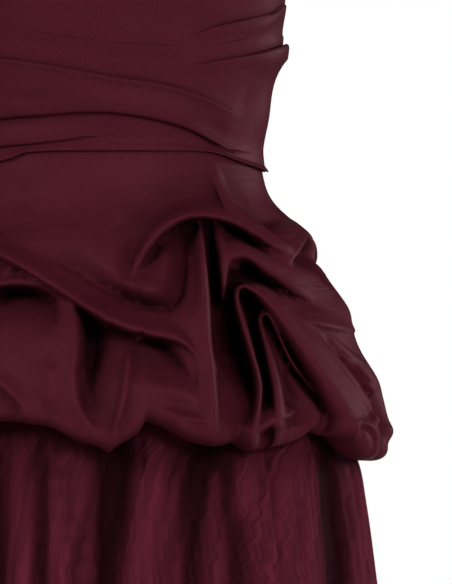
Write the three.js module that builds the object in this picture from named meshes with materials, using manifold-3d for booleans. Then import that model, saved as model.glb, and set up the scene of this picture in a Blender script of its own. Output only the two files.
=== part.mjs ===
// A strapless tulle mini dress with a draped satin bodice and a satin bubble overskirt.
// Millimetres, +Z up. The origin is the centre of the wearer's waist, the front faces -Y,
// and +X is the wearer's left. Angles go round the dress from the centre front towards +X.
import * as THREE from "three";
import Module from "manifold-3d";
import { mergeVertices } from "three/addons/utils/BufferGeometryUtils.js";

const wasm = await Module();
wasm.setup();

// Driving dimensions.
const SATIN = 1.5;
const TULLE = 1.0;
const SLIP_CLOTH = 1.0;
const SEAM_GAP = 0.3;
const BODICE_TOP_FRONT = 206;
const BODICE_TOP_BACK = 186;
const OVERSKIRT_TOP = 2;
const SLIP_ROWS = [-12, -60, -100, -154, -428];
const TULLE_TOP = -150;
const TULLE_HEM = -440;
const UNDER_TULLE_HEM = -434;
const UNDER_TULLE_TOP = -158;
const HEM_ROLL_HEIGHT = 12;
const HEM_RETURN_TOP = -180;
const RETURN_TO_TULLE = 3;
const LEAST_OVER_SLIP = 4.5;
const LEAST_OVER_TULLE = 10;
const HIGHEST_FOLD = 16;
const FOLDS_START = -15;
const FOLDS_FADE = 18;
const SIDE_SEAM = 90;

// The field of folds: the plain cylinder it is laid on, how round and how slack it is, how
// close its known points lie, and how far folds stand straight ahead in place of square out.
const FOLD_RADIUS = 150;
const FOLD_ROUNDING = 9;
const FOLD_EASE = 3;
const KNOT_SPACING = 7;
const FOLD_STEP = 14;
const EDGE_KNOT_TURN = 12;
const HEM_LIFT = 1;
const FOLDS_AHEAD = 0.85;
const AHEAD_UNTIL = 0.72;
const AHEAD_GONE = 0.995;

// The hollow that the dress keeps: a row for each height, with half the width and the
// reach to the front and to the back. Each table is one face of one layer of cloth.
const BODICE_INSIDE = [
  { z: -18, halfWidth: 121.3, front: 95.8, back: 94.8 },
  { z: -8, halfWidth: 119.6, front: 93.9, back: 92.9 },
  { z: 4, halfWidth: 118.6, front: 93.2, back: 92.2 },
  { z: 30, halfWidth: 122, front: 97, back: 93.5 },
  { z: 64, halfWidth: 127, front: 102, back: 95 },
  { z: 107, halfWidth: 131, front: 108, back: 97 },
  { z: 150, halfWidth: 137, front: 117, back: 99 },
  { z: 178, halfWidth: 139, front: 119, back: 100 },
  { z: 212, halfWidth: 135, front: 111, back: 99 },
];

const OVERSKIRT_OUTSIDE = [
  { z: 4, halfWidth: 117.4, front: 92, back: 91 },
  { z: -8, halfWidth: 118.4, front: 92.8, back: 91.8 },
  { z: -21, halfWidth: 120.7, front: 95.5, back: 94 },
  { z: -35, halfWidth: 126, front: 100, back: 98 },
  { z: -50, halfWidth: 136, front: 108, back: 105 },
  { z: -65, halfWidth: 147, front: 118, back: 115 },
  { z: -80, halfWidth: 156, front: 127, back: 124 },
  { z: -100, halfWidth: 168, front: 138, back: 135 },
  { z: -125, halfWidth: 181, front: 149, back: 146 },
  { z: -150, halfWidth: 192, front: 158, back: 156 },
  { z: -175, halfWidth: 202, front: 166, back: 163 },
  { z: -200, halfWidth: 209, front: 171, back: 168 },
  { z: -225, halfWidth: 211, front: 173, back: 170 },
];

const SLIP_OUTSIDE = [
  { z: -12, halfWidth: 116.2, front: 90.4, back: 89.4 },
  { z: -60, halfWidth: 124, front: 95, back: 95 },
  { z: -100, halfWidth: 138, front: 103, back: 104 },
  { z: -154, halfWidth: 153.5, front: 112.5, back: 115.5 },
  { z: -200, halfWidth: 161, front: 119, back: 122 },
  { z: -300, halfWidth: 177, front: 136, back: 138 },
  { z: -430, halfWidth: 194, front: 154, back: 156 },
];

const UNDER_TULLE_OUTSIDE = [
  { z: -158, halfWidth: 155.8, front: 114.8, back: 117.8 },
  { z: -180, halfWidth: 165, front: 123, back: 125 },
  { z: -227, halfWidth: 179, front: 136, back: 137 },
  { z: -304, halfWidth: 190, front: 149, back: 150 },
  { z: -440, halfWidth: 208, front: 167, back: 168 },
];

const TULLE_OUTSIDE = [
  { z: -150, halfWidth: 154.2, front: 113.6, back: 116.4 },
  { z: -180, halfWidth: 173, front: 129, back: 131 },
  { z: -227, halfWidth: 190.5, front: 147, back: 148 },
  { z: -253, halfWidth: 194.5, front: 152, back: 153 },
  { z: -304, halfWidth: 201.5, front: 160, back: 160 },
  { z: -440, halfWidth: 220, front: 179, back: 179 },
];

// The lower edge of the wrapped bodice, and the lowest line of the bubble, round the dress.
const BODICE_HEM = [
  { angle: -180, z: -4 },
  { angle: -90, z: -14 },
  { angle: -55, z: -9 },
  { angle: -30, z: -4 },
  { angle: -15, z: -1 },
  { angle: 5, z: 0 },
  { angle: 35, z: 1 },
  { angle: 50, z: -2 },
  { angle: 66, z: -7 },
  { angle: 90, z: -14 },
  { angle: 180, z: -4 },
];

const BUBBLE_HEM = [
  { angle: -180, z: -208 },
  { angle: -168, z: -217 },
  { angle: -154, z: -203 },
  { angle: -138, z: -216 },
  { angle: -124, z: -205 },
  { angle: -108, z: -214 },
  { angle: -94, z: -216 },
  { angle: -76, z: -219 },
  { angle: -64, z: -201 },
  { angle: -50, z: -213 },
  { angle: -36, z: -208 },
  { angle: -25, z: -196 },
  { angle: -17, z: -194 },
  { angle: -11, z: -197 },
  { angle: -5, z: -205 },
  { angle: 0, z: -211 },
  { angle: 3, z: -215 },
  { angle: 7, z: -207 },
  { angle: 10.5, z: -195 },
  { angle: 15, z: -199 },
  { angle: 20, z: -208 },
  { angle: 27, z: -211 },
  { angle: 30, z: -209 },
  { angle: 34, z: -215 },
  { angle: 43, z: -211 },
  { angle: 52, z: -202 },
  { angle: 60, z: -208 },
  { angle: 66, z: -219 },
  { angle: 76, z: -222 },
  { angle: 84, z: -220 },
  { angle: 96, z: -208 },
  { angle: 108, z: -216 },
  { angle: 122, z: -204 },
  { angle: 138, z: -217 },
  { angle: 152, z: -206 },
  { angle: 166, z: -215 },
  { angle: 180, z: -208 },
];

// Folds of the overskirt that lie between the two front pick-ups. Points are x and z as
// seen from the front, and lift is how far the cloth stands out there (below 0, sinks in).
const FRONT_FOLDS = [
  { name: "hip_left", from: [-36, -51], via: [-7, -46], to: [18, -41], lift: [1, 1, 1] },
  { name: "hip_top", from: [-60, -21], via: [0, -17], to: [50, -21], lift: [0, 0, 0] },
  { name: "hook_down", from: [59, -61], via: [62, -84], to: [56, -106], lift: [-10, -14, -15] },
  { name: "hook_left", from: [56, -106], via: [39, -118], to: [12, -119], lift: [-15, -12, -4] },
  { name: "hook_crest", from: [27, -84], via: [32, -101], to: [46, -106], lift: [5, 6, 5] },
  { name: "long_trough", from: [-14, -74], via: [11, -94], to: [38, -114], lift: [-2, -8, -12] },
  { name: "long_crest_rise", from: [-101, -53], via: [-88, -61], to: [-75, -69], lift: [8, 7, 6] },
  { name: "long_crest_left", from: [-75, -69], via: [-32, -90], to: [5, -116], lift: [6, 9, 10] },
  { name: "long_crest_right", from: [5, -116], via: [41, -127], to: [77, -146], lift: [10, 9, 5] },
  { name: "puff_arc", from: [-75, -96], via: [-43, -94], to: [-18, -109], lift: [4, 5, 6] },
  { name: "puff_hollow", from: [-72, -105], via: [-43, -106], to: [-18, -119], lift: [-12, -14, -12] },
  { name: "puff_face", from: [-68, -154], via: [-46, -157], to: [-25, -159], lift: [7, 9, 9] },
  { name: "puff_edge_top", from: [-16, -116], via: [-11, -136], to: [-12, -159], lift: [4, 9, 9] },
  { name: "puff_edge_low", from: [-12, -159], via: [-11, -181], to: [3, -203], lift: [9, 8, 3] },
  { name: "cleft_top", from: [-6, -116], via: [-3, -130], to: [-4, -151], lift: [-14, -24, -14] },
  { name: "cleft_low", from: [-4, -151], via: [-5, -175], to: [6, -203], lift: [-14, -8, -3] },
  { name: "under_long", from: [32, -140], via: [55, -145], to: [74, -159], lift: [-14, -16, -8] },
  { name: "pinch_crest", from: [24, -141], via: [21, -173], to: [10, -213], lift: [-1, 7, 2] },
  { name: "apron_low", from: [50, -191], via: [61, -196], to: [72, -201], lift: [4, 5, 5] },
];

// Folds that run out of each pick-up, measured at the pick-up on the wearer's left side of
// the front, and repeated round the skirt at the others.
const PICKUP_FOLDS = [
  { name: "side_crest", from: [85, -16], via: [98, -44], to: [146, -71], lift: [1, 6, 7] },
  { name: "side_trough", from: [94, -13], via: [108, -40], to: [141, -59], lift: [-2, -6, -2] },
  { name: "swag_left", from: [28, -79], via: [41, -57], to: [68, -45], lift: [3, 9, 12] },
  { name: "swag_right", from: [68, -45], via: [102, -54], to: [141, -74], lift: [12, 12, 7] },
  { name: "swag_hollow", from: [81, -56], via: [108, -66], to: [138, -80], lift: [-12, -12, -6] },
  { name: "band_top", from: [72, -63], via: [73, -89], to: [77, -129], lift: [-4, 8, 9] },
  { name: "band_low", from: [77, -129], via: [83, -161], to: [84, -199], lift: [9, 7, 5] },
  { name: "deep_top", from: [79, -60], via: [85, -86], to: [91, -120], lift: [-14, -26, -34] },
  { name: "deep_low", from: [91, -120], via: [99, -151], to: [111, -184], lift: [-34, -30, -14] },
  { name: "leg_top", from: [101, -106], via: [106, -123], to: [114, -147], lift: [1, 3, 3] },
  { name: "leg_low", from: [114, -147], via: [120, -170], to: [111, -199], lift: [3, 3, 5] },
  { name: "roll_top", from: [119, -101], via: [141, -119], to: [168, -145], lift: [6, 9, 12] },
  { name: "roll_low", from: [168, -145], via: [187, -169], to: [203, -200], lift: [12, 12, 7] },
  { name: "wedge_top", from: [122, -113], via: [136, -137], to: [154, -164], lift: [-20, -18, -18] },
  { name: "wedge_low", from: [154, -164], via: [166, -181], to: [177, -201], lift: [-18, -18, -14] },
  { name: "tongue", from: [129, -164], via: [133, -180], to: [137, -190], lift: [4, 4, 3] },
  { name: "second_crest", from: [107, -75], via: [132, -83], to: [158, -87], lift: [9, 12, 8] },
  { name: "second_hollow", from: [111, -86], via: [131, -95], to: [152, -107], lift: [-18, -14, -5] },
];

// Each pick-up: the angle it is turned to, whether its folds run towards -X, how much of the
// turn its folds take up, how far it hangs lower, and how strong its folds are.
const FIRST_PICKUP_ANGLE = 30;
const PICKUPS = [
  { name: "front_left", angle: 30, mirrored: false, spread: 1, drop: 0, strength: 1 },
  { name: "front_right", angle: -48, mirrored: true, spread: 0.96, drop: 6, strength: 0.95 },
  { name: "back_left", angle: 120, mirrored: false, spread: 1.05, drop: -4, strength: 0.9 },
  { name: "back_right", angle: -124, mirrored: true, spread: 0.9, drop: 3, strength: 0.88 },
];

// Pleats wrapped round the front of the bodice: the height of the pleat's edge at each
// angle, how far the edge stands out there, and which way the edge faces.
const PLEAT_ANGLES = [-90, -60, -30, -14, 2, 18, 34, 50, 66, 90];
const PLEATS = [
  {
    name: "lower_wrap",
    facesUp: false,
    z: [12, 19, 24, 26, 28, 25, 20, 12, 8, 6],
    lift: [2, 3, 4.5, 4.5, 4.5, 4.5, 4.5, 4, 3, 2],
  },
  {
    name: "middle_wrap",
    facesUp: true,
    z: [78, 71, 66, 62, 57, 52, 44, 36, 30, 27],
    lift: [2, 3, 3.5, 4, 4.5, 4.5, 4.5, 4.5, 3, 2],
  },
  {
    name: "upper_wrap",
    facesUp: true,
    z: [120, 106, 93, 84, 79, 77, 70, 68, 70, 74],
    lift: [2, 3, 4, 4, 4, 3, 3, 4, 5, 5.5],
  },
  {
    name: "under_bust",
    facesUp: true,
    z: [152, 136, 122, 112, 103, 94, 88, 93, 99, 110],
    lift: [2, 3, 3, 3, 3, 3, 3.5, 4, 4.5, 5],
  },
  {
    name: "over_bust",
    facesUp: true,
    z: [182, 174, 165, 159, 153, 147, 141, 138, 139, 144],
    lift: [1.5, 3, 3, 3, 3, 3, 3, 3, 3, 1.5],
  },
];
const PLEAT_STEP = 2.4;
const PLEAT_FLOOR = 0.4;
const PLEAT_FACE = 1.7;
const BODICE_HEM_LIFT = 2.4;
const BODICE_UPPER_LIFT = 1.5;
const BODICE_TOP_LIFT = 0.6;
const BODICE_BACK_LIFT = 0.5;

// Soft gathers of the tulle: how many go round, and how deep they are at the hem.
const TULLE_GATHERS = { count: 23, second: 9, depth: 6, grain: 0.6 };
const UNDER_TULLE_GATHERS = { count: 17, second: 7, depth: 4, grain: 2.1 };
const GATHER_START = 0.25;
const GATHER_MAIN = 0.6;
const GATHER_SECOND = 0.4;
const GATHERS_GROW_OVER = 1 / 3;

// How finely each layer is faceted: columns across each panel, and rows down it.
const COLUMNS = {
  bodiceFront: 22,
  bodiceBack: 8,
  overskirtRight: 15,
  overskirtLeft: 28,
  overskirtBack: 12,
  slipFront: 18,
  slipBack: 12,
  underTulle: 22,
  outerTulle: 30,
  zipTape: 2,
};
const BODICE_BACK_BANDS = 5;
const OVERSKIRT_ROWS = { top: [0, 0.1], faceFrom: 0.2, faceBands: 13, roll: [1.5, 2], end: 3 };
const TULLE_ROWS = [0, 0.15, 0.45, 1];

// The concealed zip at the centre back.
const ZIP = {
  belowTop: 5,
  tapeAngle: 5.4,
  tapeThickness: 1,
  opening: 1.2,
  setIn: 0.8,
  leavesBodice: 16,
  joinsSlip: 1,
};
const SLIDER = {
  belowTop: 14,
  length: 9,
  bodyWidth: 6,
  bodyDepth: 2.4,
  neckWidth: 0.5,
  neckLength: 6,
  plateWidth: 4.6,
  plateDepth: 1,
  postWidth: 0.9,
  barRadius: 0.7,
  clearance: 0.4,
};
const TAB = {
  width: 5,
  length: 20,
  thickness: 1.2,
  eyeRadius: 1.9,
  holeRadius: 1.15,
  eyeWidth: 2.2,
  shankLength: 3,
  shankBelowEye: 1,
  bladeBelowEye: 1.2,
};
const TAPE_ROWS = [150, 107, 64, 30];
const BAR_SIDES = 20;
const CUT_THROUGH = 2;
const SAME_POINT = 1e-4;

// Colours and finish of each cloth.
const SATIN_FINISH = { color: 0x48192a, roughness: 0.5, metalness: 0 };
const TULLE_FINISH = { color: 0x4b1a2a, roughness: 0.85, metalness: 0 };
const SLIP_FINISH = { color: 0x2c0d18, roughness: 0.75, metalness: 0 };
const TAPE_FINISH = { color: 0x3a1420, roughness: 0.8, metalness: 0 };
const METAL_FINISH = { color: 0x3f1622, roughness: 0.4, metalness: 0.6 };

const toRadians = THREE.MathUtils.degToRad;
const toDegrees = THREE.MathUtils.radToDeg;
const { clamp, lerp, smoothstep } = THREE.MathUtils;

/** The value of one column of a table at x, smooth between its rows. */
function columnAt(rows, keyName, valueName, x) {
  const rising = rows[0][keyName] < rows[rows.length - 1][keyName];
  const ordered = rising ? rows : [...rows].reverse();
  const last = ordered.length - 1;
  const at = clamp(x, ordered[0][keyName], ordered[last][keyName]);
  let low = 0;
  while (low < last - 1 && ordered[low + 1][keyName] < at) {
    low += 1;
  }
  const slope = (i) => {
    const before = ordered[Math.max(i - 1, 0)];
    const after = ordered[Math.min(i + 1, last)];
    return (after[valueName] - before[valueName]) / (after[keyName] - before[keyName]);
  };
  const span = ordered[low + 1][keyName] - ordered[low][keyName];
  const t = (at - ordered[low][keyName]) / span;
  const a = ordered[low][valueName];
  const b = ordered[low + 1][valueName];
  const rise = slope(low) * span;
  const fall = slope(low + 1) * span;
  return a + t * (rise + t * (3 * (b - a) - 2 * rise - fall + t * (2 * (a - b) + rise + fall)));
}

/** The size of a form at a height. */
function sectionAt(form, z) {
  return {
    halfWidth: columnAt(form, "z", "halfWidth", z),
    front: columnAt(form, "z", "front", z),
    back: columnAt(form, "z", "back", z),
  };
}

/**
 * A point of a form, moved level outwards by out. The way out is square to the form, turned
 * by the share ahead towards straight ahead or straight behind, but not near the sides.
 */
function formPoint(form, angle, z, out = 0, ahead = 0) {
  const size = sectionAt(form, z);
  const turn = toRadians(angle);
  const inFront = Math.cos(turn) > 0;
  const reach = inFront ? size.front : size.back;
  const way = new THREE.Vector2(Math.sin(turn) / size.halfWidth, -Math.cos(turn) / reach).normalize();
  const share = ahead * (1 - smoothstep(Math.abs(Math.sin(turn)), AHEAD_UNTIL, AHEAD_GONE));
  way.lerp(new THREE.Vector2(0, inFront ? -1 : 1), share).normalize();
  return new THREE.Vector3(
    size.halfWidth * Math.sin(turn) + way.x * out,
    -reach * Math.cos(turn) + way.y * out,
    z,
  );
}

/** The angle of a point that is seen at x on the front of a form. */
function frontAngle(form, x, z) {
  return toDegrees(Math.asin(clamp(x / sectionAt(form, z).halfWidth, -1, 1)));
}

/** The value of a parabola through three values, at t from 0 to 1. */
function through([first, middle, last], t) {
  return first * (1 - t) * (1 - 2 * t) + middle * 4 * t * (1 - t) + last * t * (2 * t - 1);
}

/** Points of known lift along one fold. */
function foldPoints(fold, place) {
  const length = Math.hypot(fold.to[0] - fold.from[0], fold.to[1] - fold.from[1]);
  const steps = Math.max(2, Math.round(length / FOLD_STEP));
  return Array.from({ length: steps + 1 }, (_, i) => {
    const t = i / steps;
    const x = through([fold.from[0], fold.via[0], fold.to[0]], t);
    const z = through([fold.from[1], fold.via[1], fold.to[1]], t);
    return place(frontAngle(OVERSKIRT_OUTSIDE, x, z), z, through(fold.lift, t));
  });
}

/** Every point of known lift on the overskirt: its folds, its waist and its hem. */
function overskirtLifts() {
  const asDrawn = (angle, z, lift) => ({ angle, z, lift });
  const points = FRONT_FOLDS.flatMap((fold) => foldPoints(fold, asDrawn));
  for (const pickup of PICKUPS) {
    const place = (angle, z, lift) => {
      const run = (angle - FIRST_PICKUP_ANGLE) * pickup.spread;
      return {
        angle: pickup.angle + (pickup.mirrored ? -run : run),
        z: z - pickup.drop,
        lift: lift * pickup.strength,
      };
    };
    points.push(...PICKUP_FOLDS.flatMap((fold) => foldPoints(fold, place)));
  }
  for (let angle = -180; angle < 180; angle += EDGE_KNOT_TURN) {
    const foot = columnAt(BUBBLE_HEM, "angle", "z", angle) + HEM_ROLL_HEIGHT;
    points.push({ angle, z: OVERSKIRT_TOP, lift: 0 }, { angle, z: foot, lift: HEM_LIFT });
  }
  return points;
}

/** A smooth field round the dress, through points of known lift laid on a plain cylinder. */
class LiftField {
  constructor(points) {
    this.knots = [];
    for (const { angle, z, lift } of points) {
      const place = this.place(angle, z);
      const clear = this.knots.every((knot) => knot.place.distanceTo(place) > KNOT_SPACING);
      if (clear) this.knots.push({ place, lift });
    }
    const size = this.knots.length;
    const rows = this.knots.map((here, i) => {
      const reaches = this.knots.map((knot) => this.reach(here.place, knot.place));
      reaches[i] -= FOLD_EASE;
      return [...reaches, 1, here.lift];
    });
    rows.push([...this.knots.map(() => 1), 0, 0]);
    const solved = solve(rows);
    this.weights = solved.slice(0, size);
    this.level = solved[size];
  }

  place(angle, z) {
    return new THREE.Vector3().setFromCylindricalCoords(FOLD_RADIUS, toRadians(angle), z);
  }

  reach(a, b) {
    return Math.hypot(a.distanceTo(b), FOLD_ROUNDING);
  }

  at(angle, z) {
    const here = this.place(angle, z);
    const add = (sum, knot, i) => sum + this.weights[i] * this.reach(here, knot.place);
    return this.knots.reduce(add, this.level);
  }
}

/** Solves a square system whose rows each end in their known value. */
function solve(rows) {
  const size = rows.length;
  for (let column = 0; column < size; column += 1) {
    let pivot = column;
    for (let row = column + 1; row < size; row += 1) {
      if (Math.abs(rows[row][column]) > Math.abs(rows[pivot][column])) pivot = row;
    }
    [rows[column], rows[pivot]] = [rows[pivot], rows[column]];
    for (let row = column + 1; row < size; row += 1) {
      const share = rows[row][column] / rows[column][column];
      for (let k = column; k <= size; k += 1) rows[row][k] -= share * rows[column][k];
    }
  }
  const answer = new Array(size).fill(0);
  for (let row = size - 1; row >= 0; row -= 1) {
    let rest = rows[row][size];
    for (let k = row + 1; k < size; k += 1) {
      rest -= rows[row][k] * answer[k];
    }
    answer[row] = rest / rows[row][row];
  }
  return answer;
}

const OVERSKIRT_FIELD = new LiftField(overskirtLifts());

/** How deep a fold may go at a place before it comes near the slip or the tulle. */
function foldRoom(angle, z) {
  const outside = formPoint(OVERSKIRT_OUTSIDE, angle, z);
  const overSlip = outside.distanceTo(formPoint(SLIP_OUTSIDE, angle, z)) - LEAST_OVER_SLIP;
  if (z > TULLE_TOP + HEM_ROLL_HEIGHT) return Math.max(overSlip, 0);
  const overTulle = outside.distanceTo(formPoint(TULLE_OUTSIDE, angle, z)) - LEAST_OVER_TULLE;
  return Math.max(Math.min(overSlip, overTulle), 0);
}

/** How far the overskirt stands out from its form. */
function overskirtLift(angle, z) {
  const lift = clamp(OVERSKIRT_FIELD.at(angle, z), -foldRoom(angle, z), HIGHEST_FOLD);
  return lift * smoothstep(FOLDS_START - z, 0, FOLDS_FADE);
}

/** The overskirt's outer face: down 0 to 1 is the face, 1 to 2 the roll, 2 to 3 the return. */
function overskirtPoint(angle, down) {
  const hem = columnAt(BUBBLE_HEM, "angle", "z", angle);
  const foot = hem + HEM_ROLL_HEIGHT;
  if (down <= 1) {
    const z = lerp(OVERSKIRT_TOP, foot, down);
    return formPoint(OVERSKIRT_OUTSIDE, angle, z, overskirtLift(angle, z), FOLDS_AHEAD);
  }
  const outer = formPoint(OVERSKIRT_OUTSIDE, angle, foot, overskirtLift(angle, foot), FOLDS_AHEAD);
  if (down <= 2) {
    const inner = formPoint(TULLE_OUTSIDE, angle, foot, RETURN_TO_TULLE);
    const turn = Math.PI * (down - 1);
    const point = outer.lerp(inner, (1 - Math.cos(turn)) / 2);
    point.z = foot - HEM_ROLL_HEIGHT * Math.sin(turn);
    return point;
  }
  return formPoint(TULLE_OUTSIDE, angle, lerp(foot, HEM_RETURN_TOP, down - 2), RETURN_TO_TULLE);
}

/** The height of the bodice's top edge. */
function bodiceTop(angle) {
  return lerp(BODICE_TOP_BACK, BODICE_TOP_FRONT, (1 + Math.cos(toRadians(angle))) / 2);
}

/** One column of a pleat at an angle. */
function pleatColumn(pleat, column, angle) {
  const rows = PLEAT_ANGLES.map((at, i) => ({ angle: at, value: pleat[column][i] }));
  return columnAt(rows, "angle", "value", angle);
}

/** The rows of the bodice front at one angle, from the bottom up: a height and a lift each. */
function bodiceFrontRows(angle) {
  const rows = [{ z: columnAt(BODICE_HEM, "angle", "z", angle), lift: BODICE_HEM_LIFT }];
  for (const pleat of PLEATS) {
    const edge = pleatColumn(pleat, "z", angle);
    const lift = pleatColumn(pleat, "lift", angle);
    const before = rows[rows.length - 1];
    rows.push({ z: (before.z + edge - PLEAT_STEP) / 2, lift: PLEAT_FACE });
    rows.push({ z: edge - PLEAT_STEP / 2, lift: pleat.facesUp ? lift : PLEAT_FLOOR });
    rows.push({ z: edge + PLEAT_STEP / 2, lift: pleat.facesUp ? PLEAT_FLOOR : lift });
  }
  const top = bodiceTop(angle);
  rows.push({ z: (rows[rows.length - 1].z + top) / 2, lift: BODICE_UPPER_LIFT });
  rows.push({ z: top, lift: BODICE_TOP_LIFT });
  return rows;
}

/** The bodice front's outer face at one of its rows. */
function bodiceFrontPoint(angle, row) {
  const { z, lift } = bodiceFrontRows(angle)[Math.round(row)];
  return formPoint(BODICE_INSIDE, angle, z, SATIN + lift);
}

/** The plain bodice back's outer face, up from its lower edge. */
function bodiceBackPoint(angle, up) {
  const z = lerp(columnAt(BODICE_HEM, "angle", "z", angle), bodiceTop(angle), up);
  return formPoint(BODICE_INSIDE, angle, z, SATIN + BODICE_BACK_LIFT);
}

/** How far a gathered layer of tulle stands out: nothing at its top, most at its hem. */
function gatherLift(gathers, angle, down) {
  const turn = toRadians(angle);
  const wave = Math.sin(gathers.count * turn + gathers.grain);
  const slow = Math.sin(gathers.second * turn + 2 * gathers.grain);
  const swing = GATHER_MAIN * wave + GATHER_SECOND * slow;
  const growth = Math.min(GATHER_START + down, 1) * clamp(down / GATHERS_GROW_OVER, 0, 1);
  return gathers.depth * growth * swing;
}

/** Evenly spaced values from a to b. */
function spaced(a, b, count) {
  return Array.from({ length: count + 1 }, (_, i) => lerp(a, b, i / count));
}

/**
 * A closed wall of cloth. The outer face passes through surface(angle, row), the inner face
 * lies a thickness behind it, and each end keeps half a seam's gap from its neighbour.
 */
function clothWall({ angles, rows, surface, thickness, gap = SEAM_GAP }) {
  const columns = angles.length - 1;
  const width = (angles[columns] - angles[0]) / columns / 2;
  const seamShare = (angle, row) => {
    const length = surface(angle + width, row).distanceTo(surface(angle - width, row));
    return (gap * width) / length;
  };
  const faces = rows.map((row, j) =>
    angles.map((angle, i) => {
      const seam = i === 0 || i === columns ? seamShare(angle, row) : 0;
      const at = angle + (i === 0 ? seam : -seam);
      const lower = surface(at, rows[Math.max(j - 1, 0)]);
      const upper = surface(at, rows[Math.min(j + 1, rows.length - 1)]);
      const along = surface(at + width, row).sub(surface(at - width, row));
      const normal = new THREE.Vector3().crossVectors(upper.sub(lower), along).normalize();
      const outer = surface(at, row);
      const away = normal.dot(new THREE.Vector3(outer.x, outer.y, 0)) > 0 ? 1 : -1;
      return { outer, normal, away };
    }),
  );
  const facing = faces[1][0].away;
  const inner = faces.map((line) =>
    line.map(({ outer, normal }) => outer.clone().addScaledVector(normal, -facing * thickness)),
  );
  return wallGeometry(
    faces.map((line) => line.map(({ outer }) => outer)),
    inner,
    facing > 0,
  );
}

/** Joins an outer and an inner grid of points with rims into one closed geometry. */
function wallGeometry(outer, inner, rowsGoDown) {
  const rows = outer.length;
  const columns = outer[0].length;
  const points = [...outer.flat(), ...inner.flat()];
  const index = [];
  const outerAt = (j, i) => j * columns + i;
  const innerAt = (j, i) => rows * columns + j * columns + i;
  const quad = (a, b, c, d) => {
    const shorter = points[a].distanceTo(points[c]) <= points[b].distanceTo(points[d]);
    const faces = shorter ? [a, b, c, a, c, d] : [a, b, d, b, c, d];
    index.push(...(rowsGoDown ? faces : faces.reverse()));
  };
  for (let j = 0; j < rows - 1; j += 1) {
    for (let i = 0; i < columns - 1; i += 1) {
      quad(outerAt(j, i), outerAt(j + 1, i), outerAt(j + 1, i + 1), outerAt(j, i + 1));
      quad(innerAt(j, i), innerAt(j, i + 1), innerAt(j + 1, i + 1), innerAt(j + 1, i));
    }
  }
  const foot = rows - 1;
  const side = columns - 1;
  for (let i = 0; i < side; i += 1) {
    quad(outerAt(0, i), outerAt(0, i + 1), innerAt(0, i + 1), innerAt(0, i));
    quad(outerAt(foot, i), innerAt(foot, i), innerAt(foot, i + 1), outerAt(foot, i + 1));
  }
  for (let j = 0; j < foot; j += 1) {
    quad(outerAt(j, 0), innerAt(j, 0), innerAt(j + 1, 0), outerAt(j + 1, 0));
    quad(outerAt(j, side), outerAt(j + 1, side), innerAt(j + 1, side), innerAt(j, side));
  }
  const geometry = new THREE.BufferGeometry().setFromPoints(points);
  geometry.setIndex(index);
  return geometry;
}

/** A named mesh of its own material. */
function piece(name, geometry, finish) {
  const mesh = new THREE.Mesh(geometry, new THREE.MeshStandardMaterial(finish));
  mesh.name = name;
  return mesh;
}

/** The two back panels of a layer, which stop short of each other at the centre back. */
function backPanels(name, finish, shape, columns, gap = SEAM_GAP) {
  const left = clothWall({ ...shape, angles: spaced(SIDE_SEAM, 180, columns), gap });
  const right = clothWall({ ...shape, angles: spaced(-180, -SIDE_SEAM, columns), gap });
  return [piece(`${name}_back_left`, left, finish), piece(`${name}_back_right`, right, finish)];
}

/** The draped satin bodice: a pleated front and two plain back panels. */
function makeBodice() {
  const group = new THREE.Group();
  const frontRows = bodiceFrontRows(0).map((_, row) => row);
  const front = clothWall({
    angles: spaced(-SIDE_SEAM, SIDE_SEAM, COLUMNS.bodiceFront),
    rows: frontRows,
    surface: bodiceFrontPoint,
    thickness: SATIN,
  });
  group.add(piece("bodice_front", front, SATIN_FINISH));
  const back = { rows: spaced(0, 1, BODICE_BACK_BANDS), surface: bodiceBackPoint, thickness: SATIN };
  group.add(...backPanels("bodice", SATIN_FINISH, back, COLUMNS.bodiceBack, ZIP.opening));
  return group;
}

/** The satin bubble overskirt, whose hem rolls under and returns to the tulle. */
function makeOverskirt() {
  const group = new THREE.Group();
  const { top, faceFrom, faceBands, roll, end } = OVERSKIRT_ROWS;
  const rows = [...top, ...spaced(faceFrom, 1, faceBands), ...roll, end];
  const shape = { rows, surface: overskirtPoint, thickness: SATIN };
  const right = spaced(-SIDE_SEAM, 0, COLUMNS.overskirtRight);
  const left = spaced(0, SIDE_SEAM, COLUMNS.overskirtLeft);
  const front = clothWall({ ...shape, angles: [...right, ...left.slice(1)] });
  group.add(piece("overskirt_front", front, SATIN_FINISH));
  group.add(...backPanels("overskirt", SATIN_FINISH, shape, COLUMNS.overskirtBack));
  return group;
}

/** The slip under the skirt, which carries the bubble and the tulle. */
function makeSlip() {
  const group = new THREE.Group();
  const shape = {
    rows: SLIP_ROWS,
    surface: (angle, z) => formPoint(SLIP_OUTSIDE, angle, z),
    thickness: SLIP_CLOTH,
  };
  const front = clothWall({ ...shape, angles: spaced(-SIDE_SEAM, SIDE_SEAM, COLUMNS.slipFront) });
  group.add(piece("slip_front", front, SLIP_FINISH));
  group.add(...backPanels("slip", SLIP_FINISH, shape, COLUMNS.slipBack));
  return group;
}

/** One gathered layer of the tulle skirt, in a front and a back. */
function makeTulleLayer({ name, form, top, hem, gathers, columns }) {
  const group = new THREE.Group();
  const surface = (angle, down) => {
    const lift = gatherLift(gathers, angle, down);
    return formPoint(form, angle, lerp(top, hem, down), lift);
  };
  const shape = { rows: TULLE_ROWS, surface, thickness: TULLE };
  const front = clothWall({ ...shape, angles: spaced(-SIDE_SEAM, SIDE_SEAM, columns) });
  const back = clothWall({ ...shape, angles: spaced(SIDE_SEAM, 360 - SIDE_SEAM, columns) });
  group.add(piece(`${name}_front`, front, TULLE_FINISH), piece(`${name}_back`, back, TULLE_FINISH));
  return group;
}

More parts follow.
